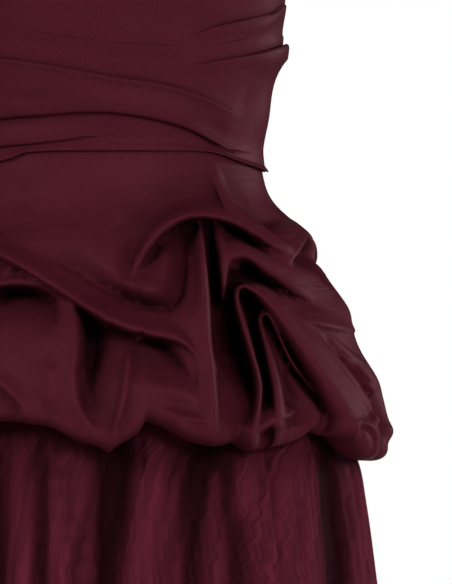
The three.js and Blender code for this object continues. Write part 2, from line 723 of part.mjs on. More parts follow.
/** The zip tape's outer face: just inside the bodice, then just inside the slip. */
function zipPoint(angle, z) {
  const inBodice = formPoint(BODICE_INSIDE, angle, z, -ZIP.setIn);
  const inSlip = formPoint(SLIP_OUTSIDE, angle, z, -SLIP_CLOTH - ZIP.setIn);
  const share = clamp((ZIP.leavesBodice - z) / (ZIP.leavesBodice - ZIP.joinsSlip), 0, 1);
  return inBodice.lerp(inSlip, share);
}

/** A block with its middle at the given place. */
function block(width, depth, height, x, y, z) {
  return new THREE.BoxGeometry(width, depth, height).translate(x, y, z);
}

/** A round bar along X. */
function barAlongX(radius, length, x, y, z) {
  const bar = new THREE.CylinderGeometry(radius, radius, length, BAR_SIDES);
  return bar.rotateZ(Math.PI / 2).translate(x, y, z);
}

/** A closed geometry as a solid that can be joined and cut. */
function solid(geometry) {
  const bare = geometry.clone();
  bare.deleteAttribute("normal");
  bare.deleteAttribute("uv");
  const merged = mergeVertices(bare, SAME_POINT);
  return new wasm.Manifold(
    new wasm.Mesh({
      numProp: 3,
      vertProperties: Float32Array.from(merged.attributes.position.array),
      triVerts: Uint32Array.from(merged.index.array),
    }),
  );
}

/** A solid as a geometry. */
function solidGeometry(shape) {
  const mesh = shape.getMesh();
  const geometry = new THREE.BufferGeometry();
  geometry.setAttribute("position", new THREE.BufferAttribute(Float32Array.from(mesh.vertProperties), 3));
  geometry.setIndex([...mesh.triVerts]);
  return geometry;
}

/** Where the slider's parts lie: its height, the bodice's faces there, and its pull tab's bar. */
function sliderPlace() {
  const z = BODICE_TOP_BACK - SLIDER.belowTop;
  const tapeInside = zipPoint(180, z).y - ZIP.tapeThickness;
  const outside = bodiceBackPoint(180, 1).y + SLIDER.clearance;
  const barY = outside + SLIDER.plateDepth + SLIDER.clearance + TAB.eyeRadius;
  return { z, inside: tapeInside - SLIDER.clearance, outside, barY };
}

/** The slider: a body inside the tapes, a neck through the opening, and a bail outside. */
function makeSlider() {
  const { z, inside, outside, barY } = sliderPlace();
  const bodyY = inside - SLIDER.bodyDepth / 2;
  const body = block(SLIDER.bodyWidth, SLIDER.bodyDepth, SLIDER.length, 0, bodyY, z);
  const neckDepth = outside + SLIDER.plateDepth - bodyY;
  const neck = block(SLIDER.neckWidth, neckDepth, SLIDER.neckLength, 0, bodyY + neckDepth / 2, z);
  const plateY = outside + SLIDER.plateDepth / 2;
  const plate = block(SLIDER.plateWidth, SLIDER.plateDepth, SLIDER.neckLength, 0, plateY, z);
  const postX = (SLIDER.plateWidth - SLIDER.postWidth) / 2;
  const postDepth = barY - outside;
  const posts = [-postX, postX].map((x) =>
    block(SLIDER.postWidth, postDepth, 2 * SLIDER.barRadius, x, outside + postDepth / 2, z),
  );
  const bar = barAlongX(SLIDER.barRadius, SLIDER.plateWidth, 0, barY, z);
  const whole = [neck, plate, ...posts, bar].reduce((sum, next) => sum.add(solid(next)), solid(body));
  return piece("zip_slider", solidGeometry(whole), METAL_FINISH);
}

/** The pull tab, whose eye turns on the slider's bar. */
function makePullTab() {
  const { z, barY } = sliderPlace();
  const eye = solid(barAlongX(TAB.eyeRadius, TAB.eyeWidth, 0, barY, z));
  const hole = solid(barAlongX(TAB.holeRadius, TAB.eyeWidth + CUT_THROUGH, 0, barY, z));
  const shankZ = z - TAB.eyeRadius - TAB.shankBelowEye;
  const shank = block(TAB.eyeWidth, TAB.thickness, TAB.shankLength, 0, barY, shankZ);
  const bladeTop = z - TAB.eyeRadius - TAB.bladeBelowEye;
  const bladeLength = TAB.length - (z - bladeTop);
  const blade = block(TAB.width, TAB.thickness, bladeLength, 0, barY, bladeTop - bladeLength / 2);
  const tab = eye.add(solid(shank)).subtract(hole).add(solid(blade));
  return piece("zip_pull_tab", solidGeometry(tab), METAL_FINISH);
}

/** The concealed zip at the centre back: two tapes, the slider and its pull tab. */
function makeZip() {
  const group = new THREE.Group();
  const inBodice = [BODICE_TOP_BACK - ZIP.belowTop, ...TAPE_ROWS, ZIP.leavesBodice];
  const rows = [...inBodice, ZIP.joinsSlip, ...SLIP_ROWS.slice(0, 3)];
  const tape = { rows, surface: zipPoint, thickness: ZIP.tapeThickness, gap: ZIP.opening };
  const left = clothWall({ ...tape, angles: spaced(180 - ZIP.tapeAngle, 180, COLUMNS.zipTape) });
  const right = clothWall({ ...tape, angles: spaced(-180, ZIP.tapeAngle - 180, COLUMNS.zipTape) });
  group.add(piece("zip_tape_left", left, TAPE_FINISH));
  group.add(piece("zip_tape_right", right, TAPE_FINISH));
  group.add(makeSlider(), makePullTab());
  return group;
}

const UNDER_LAYER = {
  name: "tulle_under",
  form: UNDER_TULLE_OUTSIDE,
  top: UNDER_TULLE_TOP,
  hem: UNDER_TULLE_HEM,
  gathers: UNDER_TULLE_GATHERS,
  columns: COLUMNS.underTulle,
};
const OUTER_LAYER = {
  name: "tulle_outer",
  form: TULLE_OUTSIDE,
  top: TULLE_TOP,
  hem: TULLE_HEM,
  gathers: TULLE_GATHERS,
  columns: COLUMNS.outerTulle,
};

const dress = new THREE.Group();
dress.add(makeBodice(), makeOverskirt(), makeSlip());
dress.add(makeTulleLayer(UNDER_LAYER), makeTulleLayer(OUTER_LAYER));
dress.add(makeZip());

export default dress;
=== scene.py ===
"""Dress the strapless tulle mini dress: draped satin, gathered tulle, concealed zip, light and camera.

Lengths are millimetres and angles degrees until a mesh is made, which is in metres. Angles go
round the dress from the centre front towards the wearer's left, which is +X.
"""

import logging
from dataclasses import dataclass, replace
from enum import Enum
from typing import NamedTuple

import bpy
import numpy as np
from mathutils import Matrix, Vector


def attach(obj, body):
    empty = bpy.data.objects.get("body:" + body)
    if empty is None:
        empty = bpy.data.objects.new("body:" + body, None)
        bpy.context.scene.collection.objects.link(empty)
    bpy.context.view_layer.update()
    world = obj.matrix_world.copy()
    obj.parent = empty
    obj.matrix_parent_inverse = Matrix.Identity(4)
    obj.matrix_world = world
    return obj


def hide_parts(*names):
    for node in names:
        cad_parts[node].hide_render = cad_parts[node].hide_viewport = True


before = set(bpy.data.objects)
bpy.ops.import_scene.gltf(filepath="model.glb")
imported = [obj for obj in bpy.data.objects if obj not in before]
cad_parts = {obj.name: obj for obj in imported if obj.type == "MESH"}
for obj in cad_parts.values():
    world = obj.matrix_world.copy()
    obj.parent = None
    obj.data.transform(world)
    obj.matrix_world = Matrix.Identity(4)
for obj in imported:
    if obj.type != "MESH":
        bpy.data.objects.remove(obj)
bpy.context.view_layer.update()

LOG = logging.getLogger("dress")
MM = 0.001

Array = np.ndarray
Table = tuple[tuple[float, ...], ...]
Socket = bpy.types.NodeSocket
Colour = tuple[float, float, float, float]
Ends = tuple[float, float, float, float]


class Slot(Enum):
    """The record's material slots."""

    SATIN = "satin"
    TULLE = "tulle"
    SLIP = "slip"
    TAPE = "zip_tape"
    METAL = "zip_metal"


# --------------------------------------------------------------------------- tables and forms


def hermite(knots: Array, values: Array, at: Array) -> Array:
    """Interpolate smoothly between the rows of a table, and hold its end values beyond them.

    Args:
        knots: Rising positions of the rows.
        values: The column's value at each row.
        at: Positions to read.

    Returns:
        The value at each position.
    """
    at = np.clip(np.asarray(at, float), knots[0], knots[-1])
    low = np.clip(np.searchsorted(knots, at, side="right") - 1, 0, len(knots) - 2)
    before = np.maximum(np.arange(len(knots)) - 1, 0)
    after = np.minimum(np.arange(len(knots)) + 1, len(knots) - 1)
    slope = (values[after] - values[before]) / (knots[after] - knots[before])
    span = knots[low + 1] - knots[low]
    t = (at - knots[low]) / span
    a, b = values[low], values[low + 1]
    rise, fall = slope[low] * span, slope[low + 1] * span
    return a + t * (rise + t * (3 * (b - a) - 2 * rise - fall + t * (2 * (a - b) + rise + fall)))


def read_table(rows: Table, at: Array) -> list[Array]:
    """Read a table's later columns at places along its first column."""
    table = np.array(sorted(rows), float)
    return [hermite(table[:, 0], column, at) for column in table.T[1:]]


def along_path(rows: Table, spacing: float) -> list[Array]:
    """Read a table's columns at even steps along the path that its first two columns draw.

    Args:
        rows: The table.
        spacing: About how far apart the steps lie.

    Returns:
        The value of each column at each step.
    """
    table = np.array(rows, float)
    steps = np.hypot(*np.diff(table[:, :2], axis=0).T)
    run = np.concatenate([[0.0], np.cumsum(steps)])
    count = max(2, int(round(run[-1] / spacing)) + 1)
    at = np.linspace(0.0, run[-1], count)
    return [hermite(run, column, at) for column in table.T]


def smoothstep(low: float, high: float, at: Array) -> Array:
    """Rise smoothly from 0 at low to 1 at high."""
    t = np.clip((np.asarray(at, float) - low) / (high - low), 0.0, 1.0)
    return t * t * (3.0 - 2.0 * t)


@dataclass(frozen=True)
class Form:
    """The oval hollow that one face of a layer keeps.

    Attributes:
        rows: A height, half the width, the reach to the front and the reach to the back, for each level.
        ahead: How far folds of the layer stand straight ahead or straight behind, in place of
            square to the form.
        flank: The shares of half the width between which folds turn square to the form.
        narrowest: How narrow the cloth may look at the sides, as a share of its width.
        rounds: How often a guess at an angle is mended.
    """

    rows: Table
    ahead: float = 0.0
    flank: tuple[float, float] = (0.72, 0.995)
    narrowest: float = 0.35
    rounds: int = 3

    def oval(self, angle: Array, z: Array) -> tuple[Array, Array, Array, Array]:
        """Read the oval at each place.

        Args:
            angle: Angle of each place.
            z: Height of each place.

        Returns:
            The angle's sine and cosine, half the width, and the reach to the front or the back.
        """
        width, front, back = read_table(self.rows, z)
        turn = np.radians(angle)
        sine, cosine = np.sin(turn), np.cos(turn)
        return sine, cosine, width, np.where(cosine > 0, front, back)

    def outward(self, angle: Array, z: Array) -> tuple[Array, Array]:
        """Find the level direction in which folds stand out.

        Args:
            angle: Angle of each place.
            z: Height of each place.

        Returns:
            The direction's share across and its share front to back.
        """
        sine, cosine, width, reach = self.oval(angle, z)
        across, along = sine / width, -cosine / reach
        length = np.hypot(across, along)
        facing = np.where(cosine > 0, -1.0, 1.0)
        share = self.ahead * (1.0 - smoothstep(*self.flank, np.abs(sine)))
        across, along = (1 - share) * across / length, (1 - share) * along / length + share * facing
        length = np.hypot(across, along)
        return across / length, along / length

    def points(self, angle: Array, z: Array, out: Array | float = 0.0) -> Array:
        """Place points on the form, moved level outwards.

        Args:
            angle: Angle of each point.
            z: Height of each point.
            out: How far each point stands out from the form.

        Returns:
            An array of points, with x, y and z in its last axis.
        """
        angle, z = np.broadcast_arrays(np.asarray(angle, float), np.asarray(z, float))
        sine, cosine, width, reach = self.oval(angle, z)
        across, along = self.outward(angle, z)
        return np.stack([width * sine + across * out, -reach * cosine + along * out, z], axis=-1)

    def radius(self, angle: Array, z: Array) -> Array:
        """Give the length of cloth per radian of angle at each place."""
        sine, cosine, width, reach = self.oval(angle, z)
        return np.hypot(width * cosine, reach * sine)

    def foreshortening(self, angle: Array, z: Array) -> Array:
        """Give how narrow a millimetre of cloth looks from straight ahead."""
        _, cosine, width, _ = self.oval(angle, z)
        return np.clip(np.abs(width * cosine) / self.radius(angle, z), self.narrowest, 1.0)

    def front_angle(self, x: Array, z: Array, lift: Array) -> Array:
        """Find the angle of points seen from the front.

        Args:
            x: Where each point is seen, across.
            z: Its height.
            lift: How far it stands out from the form.

        Returns:
            The angle of each point.
        """
        width = read_table(self.rows, z)[0]
        angle = np.degrees(np.arcsin(np.clip(x / width, -1, 1)))
        for _ in range(self.rounds):
            across = self.outward(angle, z)[0]
            angle = np.degrees(np.arcsin(np.clip((x - across * lift) / width, -1, 1)))
        return angle


# --------------------------------------------------------------------------- folds


@dataclass(frozen=True)
class Level:
    """A line along which the cloth keeps a known lift: a hollow, a face or a slope.

    Attributes:
        name: What a dressmaker would call it.
        path: Points along it, each with its distance across and height, as seen square on, and how
            far the cloth stands out there, or sinks in where that is below zero.
        by_angle: Whether the points give an angle in place of the distance across.
    """

    name: str
    path: Table
    by_angle: bool = False

    def knots(self, form: Form, spacing: float) -> Array:
        """Turn the line into knots for a lift field.

        Args:
            form: The form that the cloth follows.
            spacing: The distance between knots along the line.

        Returns:
            Rows of angle, height and lift.
        """
        across, z, lift = along_path(self.path, spacing)
        angle = across if self.by_angle else form.front_angle(across, z, lift)
        return np.stack([angle, z, lift], axis=1)


@dataclass(frozen=True)
class Side:
    """How a roll of cloth falls away on one side.

    Attributes:
        fall: How far it falls, from its crest to the end of its reach.
        soft: Whether it runs out gently; otherwise it turns under like the side of a tube.
        end: How far it falls at the roll's last point, where that differs.
        trail: How far a gentle side falls over one more reach at first.
        steep: How far either side falls over one more reach in the end.
    """

    fall: float
    soft: bool = False
    end: float | None = None
    trail: float = 16.0
    steep: float = 60.0

    def falls(self, count: int) -> Array:
        """Spread the fall along the roll's points."""
        return np.linspace(self.fall, self.fall if self.end is None else self.end, count)

    def drop(self, fall: Array, share: Array) -> Array:
        """Read how far the side has dropped.

        Args:
            fall: Its fall at each place.
            share: How far out each place lies, as a share of the reach.

        Returns:
            The drop, which goes on growing past the reach.
        """
        inside = np.clip(share, 0.0, 1.0)
        beyond = np.clip(share - 1.0, 0.0, 1.0)
        if self.soft:
            near = fall * inside * inside * (3.0 - 2.0 * inside)
            return near + self.trail * beyond + self.steep * beyond**3
        return fall * (1.0 - np.sqrt(1.0 - inside * inside)) + self.steep * beyond


@dataclass(frozen=True)
class Trace:
    """A roll laid on the form: an array for each of its columns, from end to end.

    Attributes:
        angle: The angle of its crest.
        z: The height of its crest.
        lift: How far its crest stands out.
        seen: How narrow the cloth looks where the roll was drawn.
        reach: How far it reaches to its left and to its right.
        falls: How far it falls on each side.
        sides: The shape of each side.
        near: How many reaches away it still touches the cloth.
        least_radius: The least length of cloth per radian of angle.
        crest: How far round from the crest, as a sine, its two sides run into each other.
        block: How many places are worked out at a time, to save memory.
    """

    angle: Array
    z: Array
    lift: Array
    seen: Array
    reach: tuple[Array, Array]
    falls: tuple[Array, Array]
    sides: tuple[Side, Side]
    near: float = 1.6
    least_radius: float = 120.0
    crest: float = 0.7
    block: int = 4000

    def touches(self, turn: Array, z: Array) -> Array:
        """Find the places that the roll may touch.

        Args:
            turn: How far round from the roll's middle each place lies.
            z: Its height.

        Returns:
            Whether the roll may touch each place.
        """
        reach = self.near * max(self.reach[0].max(), self.reach[1].max())
        margin = np.degrees(reach / self.seen.min() / self.least_radius)
        own = self.angle - self.angle.mean()
        beside = (turn > own.min() - margin) & (turn < own.max() + margin)
        return beside & (z > self.z.min() - reach) & (z < self.z.max() + reach)

    def raise_over(self, lift: Array, angle: Array, z: Array, radius: Array, blend: float) -> None:
        """Lift the cloth to the roll wherever the roll stands higher.

        Args:
            lift: The cloth's lift so far, which is changed.
            angle: Angle of each place.
            z: Height of each place.
            radius: Length of cloth per radian at each place.
            blend: How softly the roll runs into what is beside it.
        """
        mean = self.angle.mean()
        turn = (angle - mean + 180.0) % 360.0 - 180.0
        touched = np.flatnonzero(self.touches(turn, z))
        step_round, step_up = np.gradient(np.radians(self.angle)), np.gradient(self.z)
        for block in np.array_split(touched, max(1, len(touched) // self.block)):
            size = radius.ravel()[block][:, None] * self.seen
            off_round = np.radians(turn.ravel()[block][:, None] + mean - self.angle) * size
            off_up = z.ravel()[block][:, None] - self.z
            far = off_round**2 + off_up**2
            best = far.argmin(axis=1)
            row = np.arange(len(block))
            distance = np.sqrt(far[row, best])
            along_round = step_round[best] * size[row, best]
            side = along_round * off_up[row, best] - step_up[best] * off_round[row, best]
            left, right = (
                kind.drop(fall[best], distance / wide[best])
                for kind, fall, wide in zip(self.sides, self.falls, self.reach)
            )
            length = np.maximum(np.hypot(along_round, step_up[best]), 1e-9)
            lean = smoothstep(-self.crest, self.crest, side / length)
            height = self.lift[best] - left * lean - right * (1.0 - lean)
            now = lift.ravel()[block]
            gap = np.maximum(blend - np.abs(height - now), 0.0)
            lift.ravel()[block] = np.maximum(height, now) + gap * gap / (4.0 * blend)


@dataclass(frozen=True)
class Roll:
    """A rounded fold of cloth that stands over what is beside it.

    Attributes:
        name: What a dressmaker would call it.
        left: How it falls away to its left.
        right: How it falls away to its right.
        path: Points along its crest, each with its distance across, height and lift, and how
            far the roll reaches to the left and to the right of its own direction.
        step: How far apart the places are at which it is worked out.
    """

    name: str
    left: Side
    right: Side
    path: Table
    step: float = 1.0

    def trace(self, form: Form) -> Trace:
        """Lay the roll on a form.

        Args:
            form: The form that the cloth follows.

        Returns:
            The roll's columns.
        """
        across, z, lift, *reach = along_path(self.path, self.step)
        angle = form.front_angle(across, z, lift)
        falls = self.left.falls(len(z)), self.right.falls(len(z))
        seen = form.foreshortening(angle, z)
        return Trace(angle, z, lift, seen, tuple(reach), falls, (self.left, self.right))


class LiftField:
    """A smooth field round the dress through knots laid on a plain cylinder."""

    def __init__(self, knots: Array, radius: float, rounding: float, spacing: float, ease: float) -> None:
        """Fit the field.

        Args:
            knots: Rows of angle, height and lift.
            radius: The cylinder's radius.
            rounding: How round the field is at its knots.
            spacing: Knots nearer than this to an earlier one are left out.
            ease: How far the field may miss a knot, to stay smooth.
        """
        self.radius, self.rounding = radius, rounding
        places = self.place(knots[:, 0], knots[:, 1])
        kept: list[int] = []
        for i, place in enumerate(places):
            if not kept or np.min(np.linalg.norm(places[kept] - place, axis=1)) >= spacing:
                kept.append(i)
        self.places = places[kept]
        size = len(kept)
        system = np.zeros((size + 1, size + 1))
        system[:size, :size] = self.distances(self.places) - ease * np.eye(size)
        system[:size, size] = system[size, :size] = 1.0
        self.weights = np.linalg.solve(system, np.append(knots[kept, 2], 0.0))

    def place(self, angle: Array, z: Array) -> Array:
        """Lay points on the cylinder."""
        turn = np.radians(angle)
        return np.stack([self.radius * np.sin(turn), self.radius * np.cos(turn), z], axis=-1)

    def distances(self, places: Array) -> Array:
        """Measure the rounded distance from places to the knots.

        Args:
            places: Points on the cylinder, one a row.

        Returns:
            A row for each place, with a column for each knot.
        """
        squared = np.sum(places**2, axis=1)[:, None] + np.sum(self.places**2, axis=1)[None, :]
        squared -= 2.0 * places @ self.places.T
        return np.sqrt(np.maximum(squared, 0.0) + self.rounding**2)

    def read(self, angle: Array, z: Array, blocks: int = 40) -> Array:
        """Read the field.

        Args:
            angle: Angle of each place.
            z: Height of each place.
            blocks: How many parts it is worked out in, to save memory.

        Returns:
            The lift at each place.
        """
        angle, z = np.broadcast_arrays(angle, z)
        places = self.place(angle.ravel(), z.ravel())
        parts = [self.distances(block) @ self.weights[:-1] for block in np.array_split(places, blocks)]
        return (np.concatenate(parts) + self.weights[-1]).reshape(angle.shape)


# --------------------------------------------------------------------------- finishes


class NodeMaker:
    """A short way to add nodes to a tree."""

    def __init__(self, tree: bpy.types.NodeTree) -> None:
        """Start on this tree."""
        self.tree = tree

    def add(self, kind: str, values: dict | None = None, **settings) -> bpy.types.Node:
        """Add a node.

        Args:
            kind: The node's type name.
            values: Its inputs by name or number: a constant, or another node's output.
            settings: Its own settings.

        Returns:
            The node.
        """
        node = self.tree.nodes.new(kind)
        for name, value in settings.items():
            setattr(node, name, value)
        for name, value in (values or {}).items():
            if isinstance(value, Socket):
                self.tree.links.new(value, node.inputs[name])
            else:
                node.inputs[name].default_value = value
        return node

    def out(self, kind: str, values: dict | None = None, **settings) -> Socket:
        """Add a node and give its first output."""
        return self.add(kind, values, **settings).outputs[0]


class Nodes(NodeMaker):
    """The nodes of one material."""

    def __init__(self, name: str) -> None:
        """Start an empty material.

        Args:
            name: The material's name.
        """
        self.made = bpy.data.materials.new(name)
        self.made.use_nodes = True
        super().__init__(self.made.node_tree)
        self.tree.nodes.clear()

    def surface(self, values: dict) -> bpy.types.Material:
        """Make the shader from its inputs by name, and hand over the material."""
        self.add("ShaderNodeOutputMaterial", {"Surface": self.out("ShaderNodeBsdfPrincipled", values)})
        return self.made

    def cloth(self) -> Socket:
        """Give the place on the cloth, in metres of its own map."""
        return self.out("ShaderNodeUVMap", uv_map="cloth")

    def place(self) -> Socket:
        """Give the place in the piece's own coordinates, in metres."""
        return self.add("ShaderNodeTexCoord").outputs["Object"]

    def opened(self, ends: Ends) -> Socket:
        """Map the cloth's openness from the first two ends to the last two."""
        return self.range(self.add("ShaderNodeAttribute", attribute_name="openness").outputs["Fac"], ends)

    def paint_fold_shade(self, colour: Socket, ends: Ends) -> Socket:
        """Paint shade into a colour: darken it where the cloth is less open, deep in folds."""
        return self.out("ShaderNodeVectorMath", {0: colour, "Scale": self.opened(ends)}, operation="SCALE")

    def noise(self, place: Socket, across: float, along: float, detail: float = 2.0) -> Socket:
        """Add a soft noise.

        Args:
            place: The place that it is read at, in metres.
            across: Cycles in a metre across.
            along: Cycles in a metre along.
            detail: How many finer noises it carries.

        Returns:
            Its value, from 0 to 1.
        """
        scaled = self.out("ShaderNodeMapping", {"Vector": place, "Scale": (across, along, across)})
        values = {"Vector": scaled, "Scale": 1.0, "Detail": detail, "Roughness": 0.5}
        return self.out("ShaderNodeTexNoise", values)

    def range(self, value: Socket, ends: Ends) -> Socket:
        """Map a value from the first two ends to the last two."""
        names = ("From Min", "From Max", "To Min", "To Max")
        return self.out("ShaderNodeMapRange", {"Value": value, **dict(zip(names, ends))})

    def mix(self, share: Socket, low: Colour, high: Colour) -> Socket:
        """Mix two colours.

        Args:
            share: The second colour's share.
            low: The first colour.
            high: The second colour.

        Returns:
            The mixed colour.
        """
        factor, first, second, result = 0, 6, 7, 2
        values = {factor: share, first: low, second: high}
        return self.add("ShaderNodeMix", values, data_type="RGBA").outputs[result]

    def sum(self, *terms: tuple[Socket, float]) -> Socket:
        """Add values, each times its own weight.

        Args:
            terms: Each value and its weight.

        Returns:
            Their sum.
        """
        total = None
        for value, weight in terms:
            term = self.out("ShaderNodeMath", {0: value, 1: weight}, operation="MULTIPLY")
            if total is not None:
                term = self.out("ShaderNodeMath", {0: total, 1: term}, operation="ADD")
            total = term
        return total

    def bump(self, height: Socket) -> Socket:
        """Raise the surface by a height in metres."""
        return self.out("ShaderNodeBump", {"Height": height, "Strength": 1.0, "Distance": 1.0})


def shaded(colour: Colour, share: float) -> Colour:
    """Make a colour darker or lighter by a share."""
    return tuple(share * channel for channel in colour[:3]) + (1.0,)


@dataclass(frozen=True)
class Finish:
    """What every finish has: a name and one material, made once.

    Attributes:
        name: The material's name.
    """

    name: str

    def material(self) -> bpy.types.Material:
        """Give the finish's material, building it the first time."""
        return bpy.data.materials.get(self.name) or self.build(Nodes(self.name))

    def build(self, nodes: Nodes) -> bpy.types.Material:
        """Build the material's nodes."""
        return nodes.surface(self.inputs(nodes))

    def inputs(self, nodes: Nodes) -> dict:
        """Give the shader's inputs by name."""
        raise NotImplementedError


@dataclass(frozen=True)
class SatinFinish(Finish):
    """Dull duchess satin: fine floats along the cloth, soft slubs, a slightly uneven dye, and shade painted
    into its folds.

    Attributes:
        base: The colour of its face.
        deep: The colour where the dye takes darker.
        lustre: How much of its light comes off the floats in its own colour.
        roughness: How broad its highlights are.
        index: How strongly it shines white at a glance.
        thread: How far apart the floats lie, in metres.
        painted_shade: The openness deep in a fold and out of it, and how much of the colour each keeps, which
            paints shade into the folds.
        fold: The openness deep in a fold and out of it, between which the shine is turned off towards the
            fold, as painted shade.
        dulled: How much rougher it looks deep in a fold.
    """

    base: Colour = (0.0705, 0.0094, 0.0166, 1.0)
    deep: Colour = (0.0515, 0.0062, 0.0117, 1.0)
    lustre: float = 0.12
    roughness: float = 0.55
    index: float = 1.1
    thread: float = 0.00038
    painted_shade: Ends = (0.44, 0.98, 0.16, 1.02)
    fold: tuple[float, float] = (0.6, 0.96)
    dulled: float = 0.4

    def inputs(self, nodes: Nodes) -> dict:
        """Give the shader's inputs by name.

        Args:
            nodes: The material's nodes.

        Returns:
            Each input's value or socket.
        """
        cloth = nodes.cloth()
        floats = nodes.noise(cloth, 1 / self.thread, 0.16 / self.thread, detail=1.0)
        slubs = nodes.noise(cloth, 60.0, 420.0)
        rumple = nodes.noise(cloth, 26.0, 34.0, detail=3.0)
        dye = nodes.noise(cloth, 9.0, 9.0, detail=3.0)
        grain = nodes.noise(cloth, 620.0, 380.0)
        tone = nodes.range(nodes.sum((dye, 0.45), (grain, 0.55)), SPREAD_NOISE)
        worn = nodes.range(slubs, (0.3, 0.7, self.roughness - 0.04, self.roughness + 0.05))
        # Painted shade: where the cloth is less open, deep in a fold, its colour is darkened and its shine
        # turned off.
        return {
            "Base Color": nodes.paint_fold_shade(nodes.mix(tone, self.deep, self.base), self.painted_shade),
            "Roughness": nodes.sum((worn, 1.0), (nodes.opened((*self.fold, self.dulled, 0.0)), 1.0)),
            "Metallic": nodes.opened((*self.fold, 0.0, self.lustre)),
            "IOR": self.index,
            "Normal": nodes.bump(nodes.sum((floats, 0.00005), (slubs, 0.00004), (rumple, 0.0009))),
        }


@dataclass(frozen=True)
class TulleFinish(Finish):
    """Fine tulle: sheer, with close upright ribs where it is gathered, painted light and shade on the ribs,
    and painted shade in its hollows.

    Attributes:
        base: The colour of the net.
        painted_rib_shading: How dark and how light the ribs make it, as shares of its colour: painted light
            and shade of the small gathers.
        painted_shade: The openness in a fold and out of it, and how much of the colour each keeps, which
            paints shade into the hollows and under the bubble.
        cover: How much of what is behind it the net hides.
    """

    base: Colour = (0.088, 0.0108, 0.0238, 1.0)
    painted_rib_shading: tuple[float, float] = (0.55, 1.36)
    painted_shade: Ends = (0.1, 1.0, 0.13, 1.06)
    cover: float = 0.80

    def inputs(self, nodes: Nodes) -> dict:
        """Give the shader's inputs by name.

        Args:
            nodes: The material's nodes.

        Returns:
            Each input's value or socket.
        """
        cloth = nodes.cloth()
        ribs = nodes.noise(cloth, 700.0, 9.0)
        pleats = nodes.noise(cloth, 150.0, 4.5, detail=3.0)
        # Painted light and shade: the ribs and pleats lighten and darken the net's colour in upright streaks,
        # as the light on the small gathers would.
        tone = nodes.range(nodes.sum((ribs, 0.5), (pleats, 0.5)), SPREAD_NOISE)
        colour = nodes.mix(tone, *(shaded(self.base, share) for share in self.painted_rib_shading))
        # Painted shade: the net's colour is darkened where it is less open, in its hollows and right under
        # the bubble.
        return {
            "Base Color": nodes.paint_fold_shade(colour, self.painted_shade),
            "Roughness": 0.75,
            "IOR": 1.08,
            "Alpha": self.cover,
            "Normal": nodes.bump(nodes.sum((ribs, 0.0004), (pleats, 0.0016))),
        }


@dataclass(frozen=True)
class LiningFinish(Finish):
    """Plain dull cloth with a fine even weave, for the slip and the zip's tape.

    Attributes:
        base: Its colour.
        threads: How many threads lie in a metre.
        twill: How deep its weave is, in metres.
        float_length: How many threads long each noise of the weave is.
    """

    base: Colour = (0.020, 0.0032, 0.0062, 1.0)
    threads: float = 2600.0
    twill: float = 0.00005
    float_length: float = 5.0

    def inputs(self, nodes: Nodes) -> dict:
        """Give the shader's inputs by name.

        Args:
            nodes: The material's nodes.

        Returns:
            Each input's value or socket.
        """
        cloth, slow = nodes.cloth(), self.threads / self.float_length
        warp = nodes.noise(cloth, self.threads, slow, detail=0.0)
        weft = nodes.noise(cloth, slow, self.threads, detail=0.0)
        weave = nodes.sum((warp, 1.0), (weft, 1.0))
        tone = nodes.range(weave, (0.7, 1.3, 0.0, 1.0))
        return {
            "Base Color": nodes.mix(tone, shaded(self.base, 0.8), shaded(self.base, 1.2)),
            "Roughness": 0.8,
            "IOR": 1.1,
            "Normal": nodes.bump(nodes.sum((weave, self.twill))),
        }


@dataclass(frozen=True)
class MetalFinish(Finish):
    """Lacquered zip metal, dyed to match, worn a little paler where it is handled.

    Attributes:
        base: The lacquer's colour.
        worn: The colour where it is rubbed.
    """

    base: Colour = (0.075, 0.014, 0.024, 1.0)
    worn: Colour = (0.20, 0.09, 0.10, 1.0)

    def inputs(self, nodes: Nodes) -> dict:
        """Give the shader's inputs by name.

        Args:
            nodes: The material's nodes.

        Returns:
            Each input's value or socket.
        """
        place = nodes.place()
        rubbed = nodes.noise(place, 420.0, 420.0, detail=4.0)
        grain = nodes.noise(place, 2400.0, 2400.0)
        return {
            "Base Color": nodes.mix(nodes.range(rubbed, (0.58, 0.72, 0.0, 1.0)), self.base, self.worn),
            "Metallic": 0.7,
            "Roughness": nodes.range(grain, (0.3, 0.7, 0.32, 0.46)),
            "Normal": nodes.bump(nodes.sum((grain, 0.00002))),
        }


@dataclass(frozen=True)
class CoilFinish(Finish):
    """Dyed nylon wire, for the zip's coils.

    Attributes:
        base: Its colour.
    """

    base: Colour = (0.055, 0.009, 0.017, 1.0)

    def inputs(self, nodes: Nodes) -> dict:
        """Give the shader's inputs by name.

        Args:
            nodes: The material's nodes.

        Returns:
            Each input's value or socket.
        """
        streaks = nodes.noise(nodes.place(), 1500.0, 1500.0)
        return {
            "Base Color": nodes.mix(streaks, shaded(self.base, 0.85), shaded(self.base, 1.15)),
            "Roughness": nodes.range(streaks, (0.3, 0.7, 0.3, 0.42)),
            "IOR": 1.5,
        }


@dataclass(frozen=True)
class RoomFinish(Finish):
    """Matt pale paint, for the studio.

    Attributes:
        base: Its colour.
    """

    base: Colour = (0.86, 0.86, 0.86, 1.0)

    def inputs(self, nodes: Nodes) -> dict:
        """Give the shader's inputs by name."""
        roughness = nodes.range(nodes.noise(nodes.place(), 40.0, 40.0), (0.3, 0.7, 0.8, 0.9))
        return {"Base Color": self.base, "Roughness": roughness}


# The middle of a noise, spread over shares from 0 to 1.
SPREAD_NOISE = (0.36, 0.64, 0.0, 1.0)

SATIN = SatinFinish("duchess_satin")
TULLE = TulleFinish("gathered_net")
SLIP = LiningFinish("lining_cloth")
TAPE = LiningFinish("woven_tape", base=(0.030, 0.0055, 0.0095, 1.0), threads=1500.0, twill=0.00012)
METAL = MetalFinish("lacquered_metal")
COIL = CoilFinish("nylon_coil")
ROOM = RoomFinish("matt_paint")


# --------------------------------------------------------------------------- cloth

SEAM_GAP = 0.012


